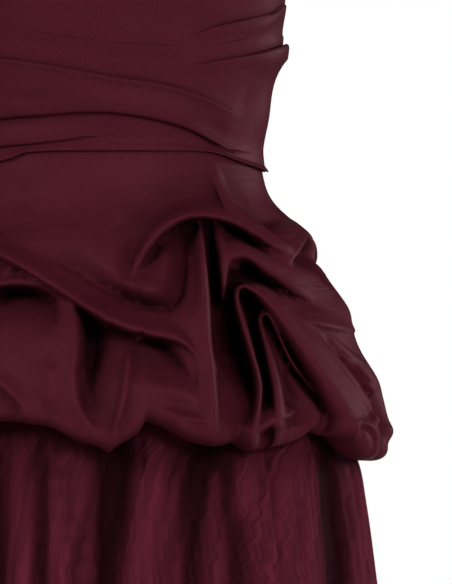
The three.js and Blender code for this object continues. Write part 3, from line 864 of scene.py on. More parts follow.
@dataclass(frozen=True)
class Panel:
    """One cut panel of a layer, between two upright seams.

    Attributes:
        name: The panel's name.
        start: Angle of its first seam.
        end: Angle of its last seam.
        columns: How many strips of faces lie across it.
        flat: Width and length of the cloth that it is cut from; not used.
    """

    name: str
    start: float
    end: float
    columns: int
    flat: tuple[float, float]

    def angles(self, zip_gap: float = SEAM_GAP) -> Array:
        """Space the panel's columns, short of the centre back and of its other seams by small angles."""
        first, last = (zip_gap if abs(edge) == 180 else SEAM_GAP for edge in (self.start, self.end))
        return np.linspace(self.start + first, self.end - last, self.columns + 1)


def grid_normals(grid: Array) -> Array:
    """Find a grid's outward normals.

    Args:
        grid: Rows by columns of points; rows go down and columns go towards +X.

    Returns:
        A unit normal for each point.
    """
    normal = np.cross(np.gradient(grid, axis=0), np.gradient(grid, axis=1))
    length = np.linalg.norm(normal, axis=2, keepdims=True)
    return normal / np.maximum(length, 1e-9)


def smooth_normals(normal: Array, times: int) -> Array:
    """Even out normals along the columns and rows, so that an offset grid doesn't fold over.

    Args:
        normal: Rows by columns of unit normals.
        times: How many times they are evened out.

    Returns:
        The evened unit normals.
    """
    for _ in range(times):
        padded = np.pad(normal, ((1, 1), (1, 1), (0, 0)), mode="edge")
        normal = padded[1:-1, 1:-1] * 2 + padded[:-2, 1:-1] + padded[2:, 1:-1]
        normal = normal + padded[1:-1, :-2] + padded[1:-1, 2:]
        normal /= np.maximum(np.linalg.norm(normal, axis=2, keepdims=True), 1e-9)
    return normal


def run_lengths(grid: Array, axis: int) -> Array:
    """Measure how far along the cloth each point of a grid lies.

    Args:
        grid: Rows by columns of points.
        axis: 0 to measure down the rows, 1 to measure across the columns.

    Returns:
        The length from the first row or column, in metres.
    """
    steps = np.linalg.norm(np.diff(grid, axis=axis), axis=2)
    start = np.zeros_like(grid[:1, :, 0] if axis == 0 else grid[:, :1, 0])
    return np.concatenate([start, np.cumsum(steps, axis=axis)], axis=axis) * MM


def grid_faces(width: int, height: int, start: int) -> list[list[int]]:
    """List the faces of a grid of points.

    Args:
        width: Points in a row.
        height: Rows.
        start: The number of its first point.

    Returns:
        The corners of each face.
    """
    across, down = np.meshgrid(np.arange(width - 1), np.arange(height - 1))
    corner = (start + down * width + across).ravel()
    return np.stack([corner, corner + width, corner + width + 1, corner + 1], axis=1).tolist()


def wall_faces(rows: int, columns: int, stride: int) -> list[tuple[int, ...]]:
    """List the faces of a closed wall: an outer grid, a coarser inner grid and four rims.

    Args:
        rows: Rows of the outer grid.
        columns: Columns of the outer grid.
        stride: How many strips of the outer grid lie over one strip of the inner grid.

    Returns:
        The faces, as the numbers of their corners.
    """
    inner_rows, inner_columns = (rows - 1) // stride + 1, (columns - 1) // stride + 1
    first = rows * columns
    faces = [tuple(face) for face in grid_faces(columns, rows, 0)]
    faces += [tuple(face[::-1]) for face in grid_faces(inner_columns, inner_rows, first)]
    last_outer, last_inner = (rows - 1) * columns, first + (inner_rows - 1) * inner_columns
    for k in range(inner_columns - 1):
        top = list(range(k * stride, (k + 1) * stride + 1))
        foot = [last_outer + i for i in top]
        faces.append((*top, first + k + 1, first + k))
        faces.append((*foot[::-1], last_inner + k, last_inner + k + 1))
    for k in range(inner_rows - 1):
        start = [i * columns for i in range(k * stride, (k + 1) * stride + 1)]
        end = [i + columns - 1 for i in start]
        here = first + k * inner_columns
        faces.append((*start[::-1], here, here + inner_columns))
        faces.append((*end, here + 2 * inner_columns - 1, here + inner_columns - 1))
    return faces


# How far off, in strips of faces, the cloth is looked at from each point, and which ways.
SIGHT_STEPS = (1, 2, 4, 7, 11, 16, 23, 32, 44)
SIGHT_WAYS = ((-1, 0), (1, 0), (0, -1), (0, 1), (-1, -1), (-1, 1), (1, -1), (1, 1))


def openness(grid: Array, even: int = 40) -> Array:
    """Work out how much of the room ahead of it each place of a folded cloth sees; the finishes paint shade
    into the folds by it.

    Args:
        grid: Rows by columns of points of the cloth's outer face.
        even: How many times the direction that counts as ahead is evened out.

    Returns:
        A value for each point, 1 on an open face and near 0 deep in a fold.
    """
    ahead = smooth_normals(grid_normals(grid), even)
    rows, columns = (np.arange(size) for size in grid.shape[:2])
    seen = np.zeros(grid.shape[:2])
    for down, across in SIGHT_WAYS:
        highest = np.zeros(grid.shape[:2])
        for step in SIGHT_STEPS:
            row = np.clip(rows + down * step, 0, len(rows) - 1)
            column = np.clip(columns + across * step, 0, len(columns) - 1)
            gap = grid[np.ix_(row, column)] - grid
            rise = np.sum(gap * ahead, axis=2) / np.maximum(np.linalg.norm(gap, axis=2), 1e-6)
            highest = np.maximum(highest, rise)
        seen += 1.0 - highest**2
    return seen / len(SIGHT_WAYS)


def cloth_piece(
    name: str,
    grid: Array,
    thickness: float,
    finish: Finish,
    even: int = 3,
    stride: int = 1,
    opened: Array | None = None,
) -> bpy.types.Object:
    """Make a closed wall of cloth whose outer face is a grid of points.

    Args:
        name: The piece's name.
        grid: Rows by columns of points; rows go down and columns go towards +X.
        thickness: How far behind the outer face the inner face lies.
        finish: The finish of both faces.
        even: How many times the offset directions are evened out.
        stride: How much coarser the inner face is.
        opened: The openness of each point, where it isn't worked out from the grid.

    Returns:
        The new object, with a UV map in metres of cloth and its openness, by which the satin and tulle
        finishes paint shade into the folds.
    """
    rows, columns = grid.shape[:2]
    inward = smooth_normals(grid_normals(grid), even) * thickness
    inner = (grid - inward)[::stride, ::stride]
    points = np.concatenate([grid.reshape(-1, 3), inner.reshape(-1, 3)]) * MM
    mesh = bpy.data.meshes.new(name)
    mesh.from_pydata(points.tolist(), [], wall_faces(rows, columns, stride))
    mesh.polygons.foreach_set("use_smooth", np.ones(len(mesh.polygons), bool))
    lie = np.stack([run_lengths(grid, 1), -run_lengths(grid, 0)], axis=-1)
    lie = np.concatenate([lie.reshape(-1, 2), lie[::stride, ::stride].reshape(-1, 2)])
    corners = np.empty(len(mesh.loops), np.int32)
    mesh.loops.foreach_get("vertex_index", corners)
    mesh.uv_layers.new(name="cloth").data.foreach_set("uv", lie[corners].ravel())
    opened = openness(grid) if opened is None else opened
    opened = np.concatenate([opened.ravel(), opened[::stride, ::stride].ravel()]).astype(np.float32)
    # Keep the openness on the mesh, for the finishes to paint shade into the folds by.
    mesh.attributes.new("openness", "FLOAT", "POINT").data.foreach_set("value", opened)
    mesh.update()
    mesh.materials.append(finish.material())
    return show(name, mesh)


def show(name: str, data: bpy.types.ID) -> bpy.types.Object:
    """Put a mesh, lamp or camera into the scene.

    Args:
        name: The object's name.
        data: What it shows.

    Returns:
        The new object.
    """
    shown = bpy.data.objects.new(name, data)
    bpy.context.scene.collection.objects.link(shown)
    return shown


def settle(piece: bpy.types.Object, node: str | None) -> None:
    """Put a finished piece on its body and in its node's place.

    Args:
        piece: The piece.
        node: The solid that it stands for, where there is one.
    """
    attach(piece, "root")
    if node:
        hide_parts(node)
    LOG.info("%s: %d faces", piece.name, len(piece.data.polygons))


# --------------------------------------------------------------------------- the dress's forms

BODICE_INSIDE = Form((
    (-18, 121.3, 95.8, 94.8),
    (-8, 119.6, 93.9, 92.9),
    (4, 118.6, 93.2, 92.2),
    (30, 122, 97, 93.5),
    (64, 127, 102, 95),
    (107, 131, 108, 97),
    (150, 137, 117, 99),
    (178, 139, 119, 100),
    (212, 135, 111, 99),
))
OVERSKIRT_OUTSIDE = Form((
    (-225, 211, 173, 170),
    (-200, 209, 171, 168),
    (-175, 202, 166, 163),
    (-150, 192, 158, 156),
    (-125, 181, 149, 146),
    (-100, 168, 138, 135),
    (-80, 156, 127, 124),
    (-65, 147, 118, 115),
    (-50, 136, 108, 105),
    (-35, 126, 100, 98),
    (-21, 120.7, 95.5, 94),
    (-8, 118.4, 92.8, 91.8),
    (4, 117.4, 92, 91),
), ahead=0.85)
SLIP_OUTSIDE = Form((
    (-430, 194, 154, 156),
    (-300, 177, 136, 138),
    (-200, 161, 119, 122),
    (-154, 153.5, 112.5, 115.5),
    (-100, 138, 103, 104),
    (-60, 124, 95, 95),
    (-12, 116.2, 90.4, 89.4),
))
UNDER_TULLE_OUTSIDE = Form((
    (-440, 208, 167, 168),
    (-304, 190, 149, 150),
    (-227, 179, 136, 137),
    (-180, 165, 123, 125),
    (-158, 155.8, 114.8, 117.8),
))
TULLE_OUTSIDE = Form((
    (-440, 220, 179, 179),
    (-304, 201.5, 160, 160),
    (-253, 194.5, 152, 153),
    (-227, 190.5, 147, 148),
    (-180, 173, 129, 131),
    (-150, 154.2, 113.6, 116.4),
))

# The heights of the bodice's and of the bubble's lower edge, by angle.
BODICE_HEM = (
    (-180, -4), (-90, -14), (-55, -11), (-38, -8), (-30.5, -5), (-25.5, -1.2), (-19, 0), (-9, 0.5), (5, 0.5),
    (19, 0.5), (41, 0), (48, -2), (56, -6), (66, -9.5), (90, -14), (180, -4),
)
BUBBLE_HEM = (
    (-180, -208), (-168, -217), (-154, -203), (-138, -216), (-124, -205), (-108, -214), (-94, -216),
    (-76, -219), (-64, -201), (-50, -213), (-36, -208), (-25, -196), (-17, -194), (-13.6, -196),
    (-10.8, -197), (-8, -200), (-5.4, -205), (-2.7, -209), (0, -211), (2, -214.5), (2.8, -216),
    (3.8, -213.5), (5.4, -210), (7.6, -206), (9.4, -201), (10.6, -194.5), (12.4, -196), (15, -199),
    (17, -203), (19.2, -207), (23.5, -211), (27, -211.5), (29.5, -209), (31.5, -212), (33.8, -215.5),
    (39.3, -213), (43, -211), (46.7, -208), (51.5, -201.5), (56.7, -205), (60.8, -208), (63.5, -216),
    (67, -222), (76, -223.5), (84, -223.5), (90, -219), (98, -208), (108, -216), (122, -204), (138, -217),
    (152, -206), (166, -215), (180, -208),
)

# --------------------------------------------------------------------------- folds of the overskirt

# Faces and hollows of the front that belong to no pick-up.
FRONT_LEVELS = (
    Level("hip_top", ((-54, -19, 0), (-4, -16, 0), (50, -20, 0))),
    Level("hip_side_hollow", ((-58, -20, -2), (-51, -33, -4), (-56, -47, -2))),
    Level("hip_left", ((-35, -50, 1), (-5, -46, 1.5), (19, -44, 1))),
    Level("hip_middle", ((-25, -64, 1), (0, -67, 1), (16, -74, 1))),
    Level("hollow_over_long", ((-36, -78, -4), (-24, -83, -8), (-13, -88, -10.5), (-5, -92, -11))),
    Level("puff_hollow", (
        (-66, -103.5, -24), (-54, -103, -25), (-42, -104, -23), (-31, -108, -18), (-21, -115, -9),
    )),
    Level("puff_hollow_low", ((-66, -112, -15), (-52, -111.5, -15), (-38, -115, -11), (-28, -121, -4))),
    Level("puff_slope", ((-66, -120, -3), (-48, -120, -2), (-34, -125, 2))),
    Level("puff_top", ((-71, -129, 3), (-46, -130, 6), (-26, -132, 8))),
    Level("puff_middle", ((-68, -152, 7), (-46, -155, 10), (-26, -157, 10))),
    Level("puff_low", ((-44, -172, 8), (-31, -176, 9), (-20, -182, 8))),
    Level("puff_foot", ((-30, -193, 3), (-16, -199, 3), (-4, -205, 2))),
    Level("left_of_puff", ((-75, -182, -2), (-62, -186, -1), (-54, -191, 0))),
    Level("cleft", (
        (-6, -117, -28), (-5, -128, -34), (-4.5, -139, -34), (-5, -150, -28), (-6, -161, -16),
        (-6, -173, -9), (-4, -185, -6),
    )),
    Level("cleft_right", (
        (1, -124, -26), (1.5, -134, -24), (1.5, -146, -17), (1, -158, -9), (1, -172, -4),
    )),
    Level("beside_cleft", ((9, -129, -18), (10, -137, -12), (11, -147, -6), (12, -157, -1))),
    Level("lens", ((10, -163, 1), (9, -180, 1), (8, -196, 0))),
    Level("under_long_left", ((15, -132, -15), (18, -138, -10))),
    Level("under_long", (
        (26, -137, -11), (35, -140, -15), (44, -142.5, -17), (55, -146, -17), (64, -150.5, -15),
        (71, -157, -10), (75, -165, -4),
    )),
    Level("under_long_low", ((34, -148, -10), (44, -151, -12), (54, -154.5, -11), (62, -159, -7))),
    Level("apron_top", ((38, -158, -3), (48, -161, -4), (58, -166, -2))),
    Level("pinch_right", ((34, -158, 3), (36, -172, 5), (35, -186, 3))),
    Level("apron_face", ((42, -168, 3), (66, -171, 3), (73, -178, 3.5))),
    Level("apron_dip", ((48, -178, 0.5), (59, -180.5, 0))),
)

HARD_EDGE = Side(24)

# Rolls of the front that belong to no pick-up.
FRONT_ROLLS = (
    Roll("long_roll", Side(13, soft=True, end=13), Side(28, end=13), (
        (-101, -55, 6, 12, 8), (-88, -62, 8, 12, 8), (-75, -70.5, 10, 13, 5), (-62, -77.5, 12, 12, 4.5),
        (-50, -84, 12, 12, 4.5), (-40, -90, 12.5, 12, 4.5), (-30, -96, 13, 11, 4.5),
        (-20, -102.5, 12.5, 12, 4.5), (-10, -109, 12, 12, 4.5), (0, -115, 11, 12, 4.8),
        (10, -120.5, 11, 12, 5), (20, -125, 10, 12, 5), (30, -128, 10, 12, 5), (42, -130.5, 9, 13, 5),
        (54, -133, 8, 14, 5), (64, -137, 7, 12, 5), (72, -145, 5, 8, 4.5), (77, -156, 3, 6, 4),
    )),
    Roll("puff_arc", Side(10), Side(12), (
        (-80, -97, 2, 5, 5), (-62, -94, 4, 5, 4.5), (-50, -94, 4.5, 5, 4.5), (-40, -95.5, 4, 5, 4.5),
        (-32, -99.5, 3, 5, 4.5), (-24, -105, 3, 5, 5), (-17, -111, 5, 5, 6),
    )),
    Roll("puff_edge", HARD_EDGE, Side(3, soft=True), (
        (-16, -112, 6, 4, 10), (-13.5, -122, 9, 4.5, 14), (-12.5, -134, 11, 4.5, 16),
        (-13, -146, 11, 5, 16), (-14.5, -158, 11, 5, 16), (-14, -170, 10, 5.5, 16), (-12, -180, 9, 5, 14),
        (-8, -188.5, 7, 4.5, 12), (-2, -196.5, 5, 4, 10), (4, -204, 3, 3, 8),
    )),
    Roll("puff_left_edge", Side(4, soft=True), Side(17), (
        (-80, -158, 10, 9, 4), (-66, -168, 12, 9, 4), (-57, -176.5, 12, 9, 4), (-49, -185, 11, 9, 4),
        (-41, -193, 7, 8, 4),
    )),
    Roll("pinch", Side(6), Side(7, soft=True), (
        (24.5, -141, -12, 3, 3), (24, -147, 3, 3, 3), (23, -156, 8.5, 3.5, 3.5), (22, -166, 11, 3.5, 4),
        (20.5, -176, 11, 3.5, 4.5), (18, -187, 10, 3.5, 4.5), (14.5, -198, 7.5, 3, 4), (12, -209, 3, 3, 3),
    )),
    Roll("apron_low", Side(6, soft=True), Side(6, soft=True), (
        (42, -189.5, 5, 5, 5), (56, -190.5, 8, 6, 6), (70, -192, 8, 6, 7), (82, -194, 6, 6, 8),
    )),
)

# Faces and hollows round each pick-up, drawn at the one on the wearer's left side of the front.
PICKUP_LEVELS = (
    Level("side_panel", ((102, -14, -1), (110, -26, -2), (119, -37, -1))),
    Level("side_panel_low", ((110, -37, -2), (124, -46, -1), (138, -54, 3))),
    Level("silhouette", tuple((84, z, lift) for z, lift in (
        (-38, -1.5), (-47, 1), (-52, 6), (-56, 10), (-64, 12), (-73, -8), (-81, 5.5), (-90, 5.5), (-98, 6),
        (-107, 7.5), (-116, 8.5), (-124, 5), (-133, 2), (-141, 2.5), (-150, 4), (-159, 6), (-167, 7),
        (-176, 5), (-184, 5), (-193, 5.5), (-203, 8.5),
    )), by_angle=True),
    Level("flap_back", ((93, -64, 11), (94, -69, 8), (94, -74, 7), (93, -79, 5)), by_angle=True),
    Level("flap_pocket", ((80, -69, -12), (79, -75, -14)), by_angle=True),
    Level("over_swag", (
        (20, -86, -2), (23, -79, -5), (28, -69, -8), (38, -54, -9), (48, -44.5, -9), (58, -39, -8),
        (70, -35, -6), (84, -30, -3),
    )),
    Level("under_swag_left", (
        (42, -76, -5), (45, -68, -11), (50, -61, -16), (57, -56.5, -20), (66, -54.5, -22),
    )),
    Level("hook_lobe", ((50, -74, 3), (50, -84, 5), (45, -93, 6))),
    Level("hook_face", ((12, -84, 3), (21, -93, 5), (30, -100, 6), (40, -103, 6), (49, -100, 4))),
    Level("hook_down", (
        (60, -60, -15), (63.5, -68, -16), (65, -80, -17), (64.5, -92, -17), (62, -103, -16),
        (55.5, -111.5, -14),
    )),
    Level("hook_round", (
        (46, -114.5, -14), (36, -114.5, -14), (26, -111, -13), (17, -105, -12), (8, -99, -11),
        (-1, -93.5, -9.5),
    )),
    Level("swag_core", ((76, -53, -20), (79, -57, -20))),
    Level("dark_wedge", (
        (81, -60, -16), (84, -68, -26), (85.5, -80, -34), (86.5, -95, -38), (87.5, -110, -42),
        (88.5, -122, -42), (91, -134, -42), (94, -146, -42), (98, -157, -38), (102, -168, -27),
    )),
    Level("deep_fold", (
        (95, -112, -42), (98, -124, -42), (102, -136, -42), (106, -148, -42), (110, -160, -38),
        (111.5, -171, -30), (110, -182, -16),
    )),
    Level("deep_face", ((90, -168, -8), (92, -179, -5), (94, -190, -2), (95, -199, 1))),
    Level("deep_face_right", ((103, -182, -15), (104, -191, -9), (102, -200, -3))),
    Level("under_swag_right", (
        (92, -55.5, -14), (100, -59.5, -18), (108, -64, -18), (116, -68, -17), (124, -72, -14),
        (131, -75.5, -8),
    )),
    Level("second_core", ((100, -84, -40), (100, -89, -42), (100, -94, -42))),
    Level("second_inside", ((105, -85, -32), (110, -88, -28), (115, -90.5, -25))),
    Level("second_hollow", (
        (119, -91.5, -21), (125, -95, -19), (132, -99, -14), (140, -103, -6), (149, -107, 3),
    )),
    Level("haunch_top", ((158, -100, 6), (165, -108, 7), (172, -116, 7))),
    Level("under_haunch", ((150, -131, 5), (162, -135, 6))),
    Level("haunch_low", ((172, -136, 6), (184, -148, 6), (194, -160, 5))),
    Level("roll_flank", ((134, -102, 1), (146, -112, 4), (160, -125, 6), (176, -141, 7))),
    Level("low_side", ((190, -166, 9), (197, -180, 9), (202, -194, 7))),
    Level("ring_core", ((106, -103, -34), (110, -108, -34), (114, -113, -32))),
    Level("over_loop", ((119, -109, -24), (125, -115.5, -24))),
    Level("slit_left", (
        (115, -124, -24), (117, -136, -23), (119.5, -148, -22), (122, -160, -22), (123, -172, -22),
        (121.5, -184, -18),
    )),
    Level("slit_right", (
        (121, -121, -16), (124, -128, -16), (128, -136, -16), (132, -145, -16), (135, -154, -14),
    )),
    Level("roll_wedge", (
        (131, -125, -26), (137, -137, -28), (144, -148, -30), (151, -158, -30), (159, -168, -30),
        (167, -180, -30), (173, -190, -28), (178, -200, -24),
    )),
    Level("inner_face", ((141, -168, -17), (143, -180, -15), (146, -194, -12))),
    Level("inner_face_right", ((149, -180, -13), (154, -190, -11), (157, -198, -8))),
    Level("foot_pocket", ((112, -209, -18), (118, -206, -18), (125, -202, -15), (132, -198.5, -11))),
    Level("low_flap", ((133, -207, -4), (144, -206, -4), (155, -202, -4))),
    Level("curl_hollow", ((187, -203, -16), (192, -206, -18), (197, -208, -14))),
)

# Rolls that run out of each pick-up.
PICKUP_ROLLS = (
    Roll("swag", Side(14, soft=True), Side(26), (
        (25, -92, 2, 6, 7), (28, -84, 5, 6, 7), (32, -75, 7, 6, 6.5), (37, -66.5, 9, 6, 6),
        (44, -58.5, 10, 7, 5.5), (53, -51.5, 11, 8, 5.5), (62, -47.5, 12, 9, 5), (72, -45.5, 13, 10, 5),
        (84, -46, 13, 11, 5.5), (96, -48.5, 13, 12, 6.5), (106, -52.5, 12, 12, 7), (116, -58, 12, 12, 7),
        (126, -64, 11, 11, 7), (135, -69, 10, 9, 7.5),
    )),
    Roll("side_ridge", Side(5), Side(4), (
        (84.5, -10, 1, 5, 5), (88, -20, 2.5, 4.5, 4.5), (92, -30, 4.5, 4.5, 4.5), (99, -42, 8.5, 5, 5),
        (110, -50, 12, 5, 5), (120, -57, 13.5, 5, 5), (129, -63, 14, 5, 6), (138, -68, 13.5, 5, 6),
    )),
    Roll("flap", Side(24), Side(3, soft=True), (
        (156, -58, 12, 2.5, 8), (153.5, -63, 12.5, 2.5, 9), (150, -69, 12.5, 2.5, 10),
        (146, -75, 12, 2.5, 10), (140, -81, 10, 3, 9),
    )),
    Roll("lobe", Side(12, soft=True), HARD_EDGE, (
        (86, -51, -6, 8, 5), (88, -58, -1, 9, 5), (91, -66, 4, 10, 5.5), (93, -73, 7, 10, 5.5),
    )),
    Roll("second_roll", Side(16, end=8), Side(24, end=4), (
        (91.5, -106, -12, 3, 3), (92, -97, -2, 3.5, 3.5), (92.5, -88, 3, 4, 4), (93.5, -80, 6, 5, 5),
        (97, -74.5, 9, 8, 6.5), (104, -73, 10, 9, 6.5), (112, -75, 11, 8, 6.5), (120, -78.5, 11, 8, 8),
        (128, -82, 11, 8, 10), (137, -85, 10.5, 8, 13), (147, -88, 10, 8, 16), (158, -92, 8, 9, 18),
    )),
    Roll("left_leg", Side(22), Side(18), (
        (112, -206, 4, 4, 4), (114, -198, 5, 4, 4), (116.5, -189, 6, 3.6, 3), (118, -180, 6, 3.4, 2.6),
        (118.5, -170, 6, 3.4, 2.6), (117, -160, 5, 3.4, 2.8), (114, -150, 4, 3.4, 3),
        (111, -140, 3, 3.4, 3.4), (108, -130, 2, 3.6, 3.8), (105, -120, 1, 3.6, 4),
        (102.5, -112, 1, 3.4, 4), (101.5, -105, 2, 2.8, 3), (102.5, -99.5, 3, 2.6, 2.6),
        (106, -97.5, 4, 2.6, 2.6), (111, -98.5, 5, 3.5, 3),
    )),
    Roll("long_tube", Side(3.5, soft=True), HARD_EDGE, (
        (109, -98, 4, 3, 3), (117, -102, 6, 6, 4.5), (124, -107.5, 8, 8, 6), (131, -114.5, 9.5, 9, 7),
        (138, -123, 11, 11, 7.5), (145, -132, 12, 12, 8), (153, -142, 13, 13, 8.5),
        (161, -152.5, 13.5, 14, 9), (169, -163, 13.5, 15, 9), (177, -174, 13, 16, 9.5),
        (184, -185, 12, 16, 10), (190, -196, 10, 15, 10),
    )),
    Roll("tongue", Side(16), Side(16), (
        (131, -196, 3, 7, 6), (132, -188, 4, 6, 6), (131.5, -178, 4, 5.5, 5.5), (130.5, -168, 4, 5.5, 5),
        (128.5, -158, 4, 5, 4.5), (126, -148, 3, 4.5, 4), (123.5, -139, 2, 4, 3.6), (121, -131, 1, 3.4, 3),
        (118.8, -124, 0, 2.6, 2.2), (119.2, -118.5, 0, 2.2, 2), (122, -117, 0, 2.2, 2),
        (125.5, -119.5, -1, 3, 2.2), (129, -126, -2, 3, 2.5), (132.5, -134, -3, 3, 2.6),
        (136, -142, -4, 3, 2.8), (140, -150, -5, 3.2, 3), (145, -157.5, -6, 3.2, 3),
        (151, -165, -8, 3.2, 3), (157, -173, -10, 3.2, 3), (163, -182, -13, 3, 3),
    )),
    Roll("foot", Side(16), Side(6, soft=True), (
        (139, -190.5, 2, 2.5, 6), (133, -191.5, 4, 3, 7), (126, -194.5, 5, 3.5, 7), (119, -198.5, 5, 4, 7),
        (112, -203, 4, 4, 7), (104, -206.5, 3, 4, 8),
    )),
    Roll("inner_edge", Side(14), Side(4, soft=True), (
        (139, -162, -11, 3, 5), (144, -168, -10, 3, 6), (150, -175, -9, 3, 7), (156, -182, -8, 3, 8),
        (161.5, -190, -6, 3, 9), (164.5, -198, -4, 3, 9),
    )),
    Roll("band", Side(30, end=14), Side(22, soft=True, end=6), (
        (75, -52, -4, 2.5, 6), (75.5, -58, 2, 3, 7), (76.5, -68, 6, 3.5, 8), (77.5, -80, 8, 4, 9),
        (78.5, -95, 9, 4, 10), (79.5, -110, 9, 4.2, 13), (80, -122, 9, 4.2, 20), (80.5, -134, 8, 4.2, 22),
        (81, -146, 7, 5, 18), (82, -157, 6, 7, 14),
    )),
    Roll("band_foot", Side(14, end=4), Side(3.5, soft=True), (
        (81.5, -138, 8, 3, 8), (83, -152, 8, 3.5, 8), (84, -165, 8.5, 4, 9), (84.5, -180, 8, 4.5, 9),
        (84.5, -194, 7, 4.5, 9), (85.5, -205, 5, 4.5, 8),
    )),
    Roll("tube_crease", Side(4.5), Side(2.5, soft=True), (
        (124, -103, 7, 3, 3), (132, -109.5, 9, 3, 3), (142, -118.5, 10.5, 3, 3), (152, -128.5, 11.5, 3, 3),
        (162, -138.5, 12, 3, 3), (172, -148.5, 12, 3, 3), (182, -160, 12, 3.5, 3.5),
        (190, -172, 11.5, 4, 4), (197, -184, 10, 4, 4),
    )),
    Roll("haunch_line", Side(3, soft=True), Side(3, soft=True), (
        (168, -132, 7, 5, 5), (178, -141, 8, 5, 5), (188, -149, 8, 5, 5), (198, -156, 6, 5, 5),
    )),
    Roll("haunch_fold", Side(3, soft=True), Side(9), (
        (142, -118.5, 6, 8, 3), (152, -122, 9, 9, 3), (164, -125, 10.5, 10, 3), (176, -127.5, 10.5, 10, 3),
        (185, -129.5, 9, 9, 3),
    )),
    Roll("curl", Side(4, soft=True), Side(18), (
        (181, -200, 8, 4, 2.6), (187, -197, 12, 5, 2.6), (195, -196, 14, 5, 2.6), (201, -199, 14, 5, 3),
        (204, -206, 12, 5, 3.5), (203, -213, 9, 5, 4),
    )),
)


@dataclass(frozen=True)
class Pickup:
    """A place where the overskirt is caught up to the slip.

    Attributes:
        angle: Where it lies.
        mirrored: Whether its folds run towards -X.
        spread: How much of the turn its folds take up.
        drop: How far lower it hangs.
        strength: How strong its folds are.
    """

    angle: float
    mirrored: bool = False
    spread: float = 1.0
    drop: float = 0.0
    strength: float = 1.0

    def turn(self, angle: Array, drawn_at: float) -> Array:
        """Turn angles drawn at one pick-up to this one."""
        way = -1.0 if self.mirrored else 1.0
        return self.angle + way * self.spread * (angle - drawn_at)

    def knots(self, drawn: Array, drawn_at: float) -> Array:
        """Turn knots to this pick-up."""
        angle, z, lift = drawn.T
        return np.stack([self.turn(angle, drawn_at), z - self.drop, lift * self.strength], axis=1)

    def trace(self, drawn: Trace, drawn_at: float) -> Trace:
        """Turn a roll to this pick-up.

        Args:
            drawn: The roll where it was drawn.
            drawn_at: The angle of the pick-up that it was drawn at.

        Returns:
            The roll here.
        """
        angle = self.turn(drawn.angle, drawn_at)
        turned = replace(drawn, angle=angle, z=drawn.z - self.drop, lift=drawn.lift * self.strength)
        if not self.mirrored:
            return turned
        return replace(turned, reach=drawn.reach[::-1], falls=drawn.falls[::-1], sides=drawn.sides[::-1])


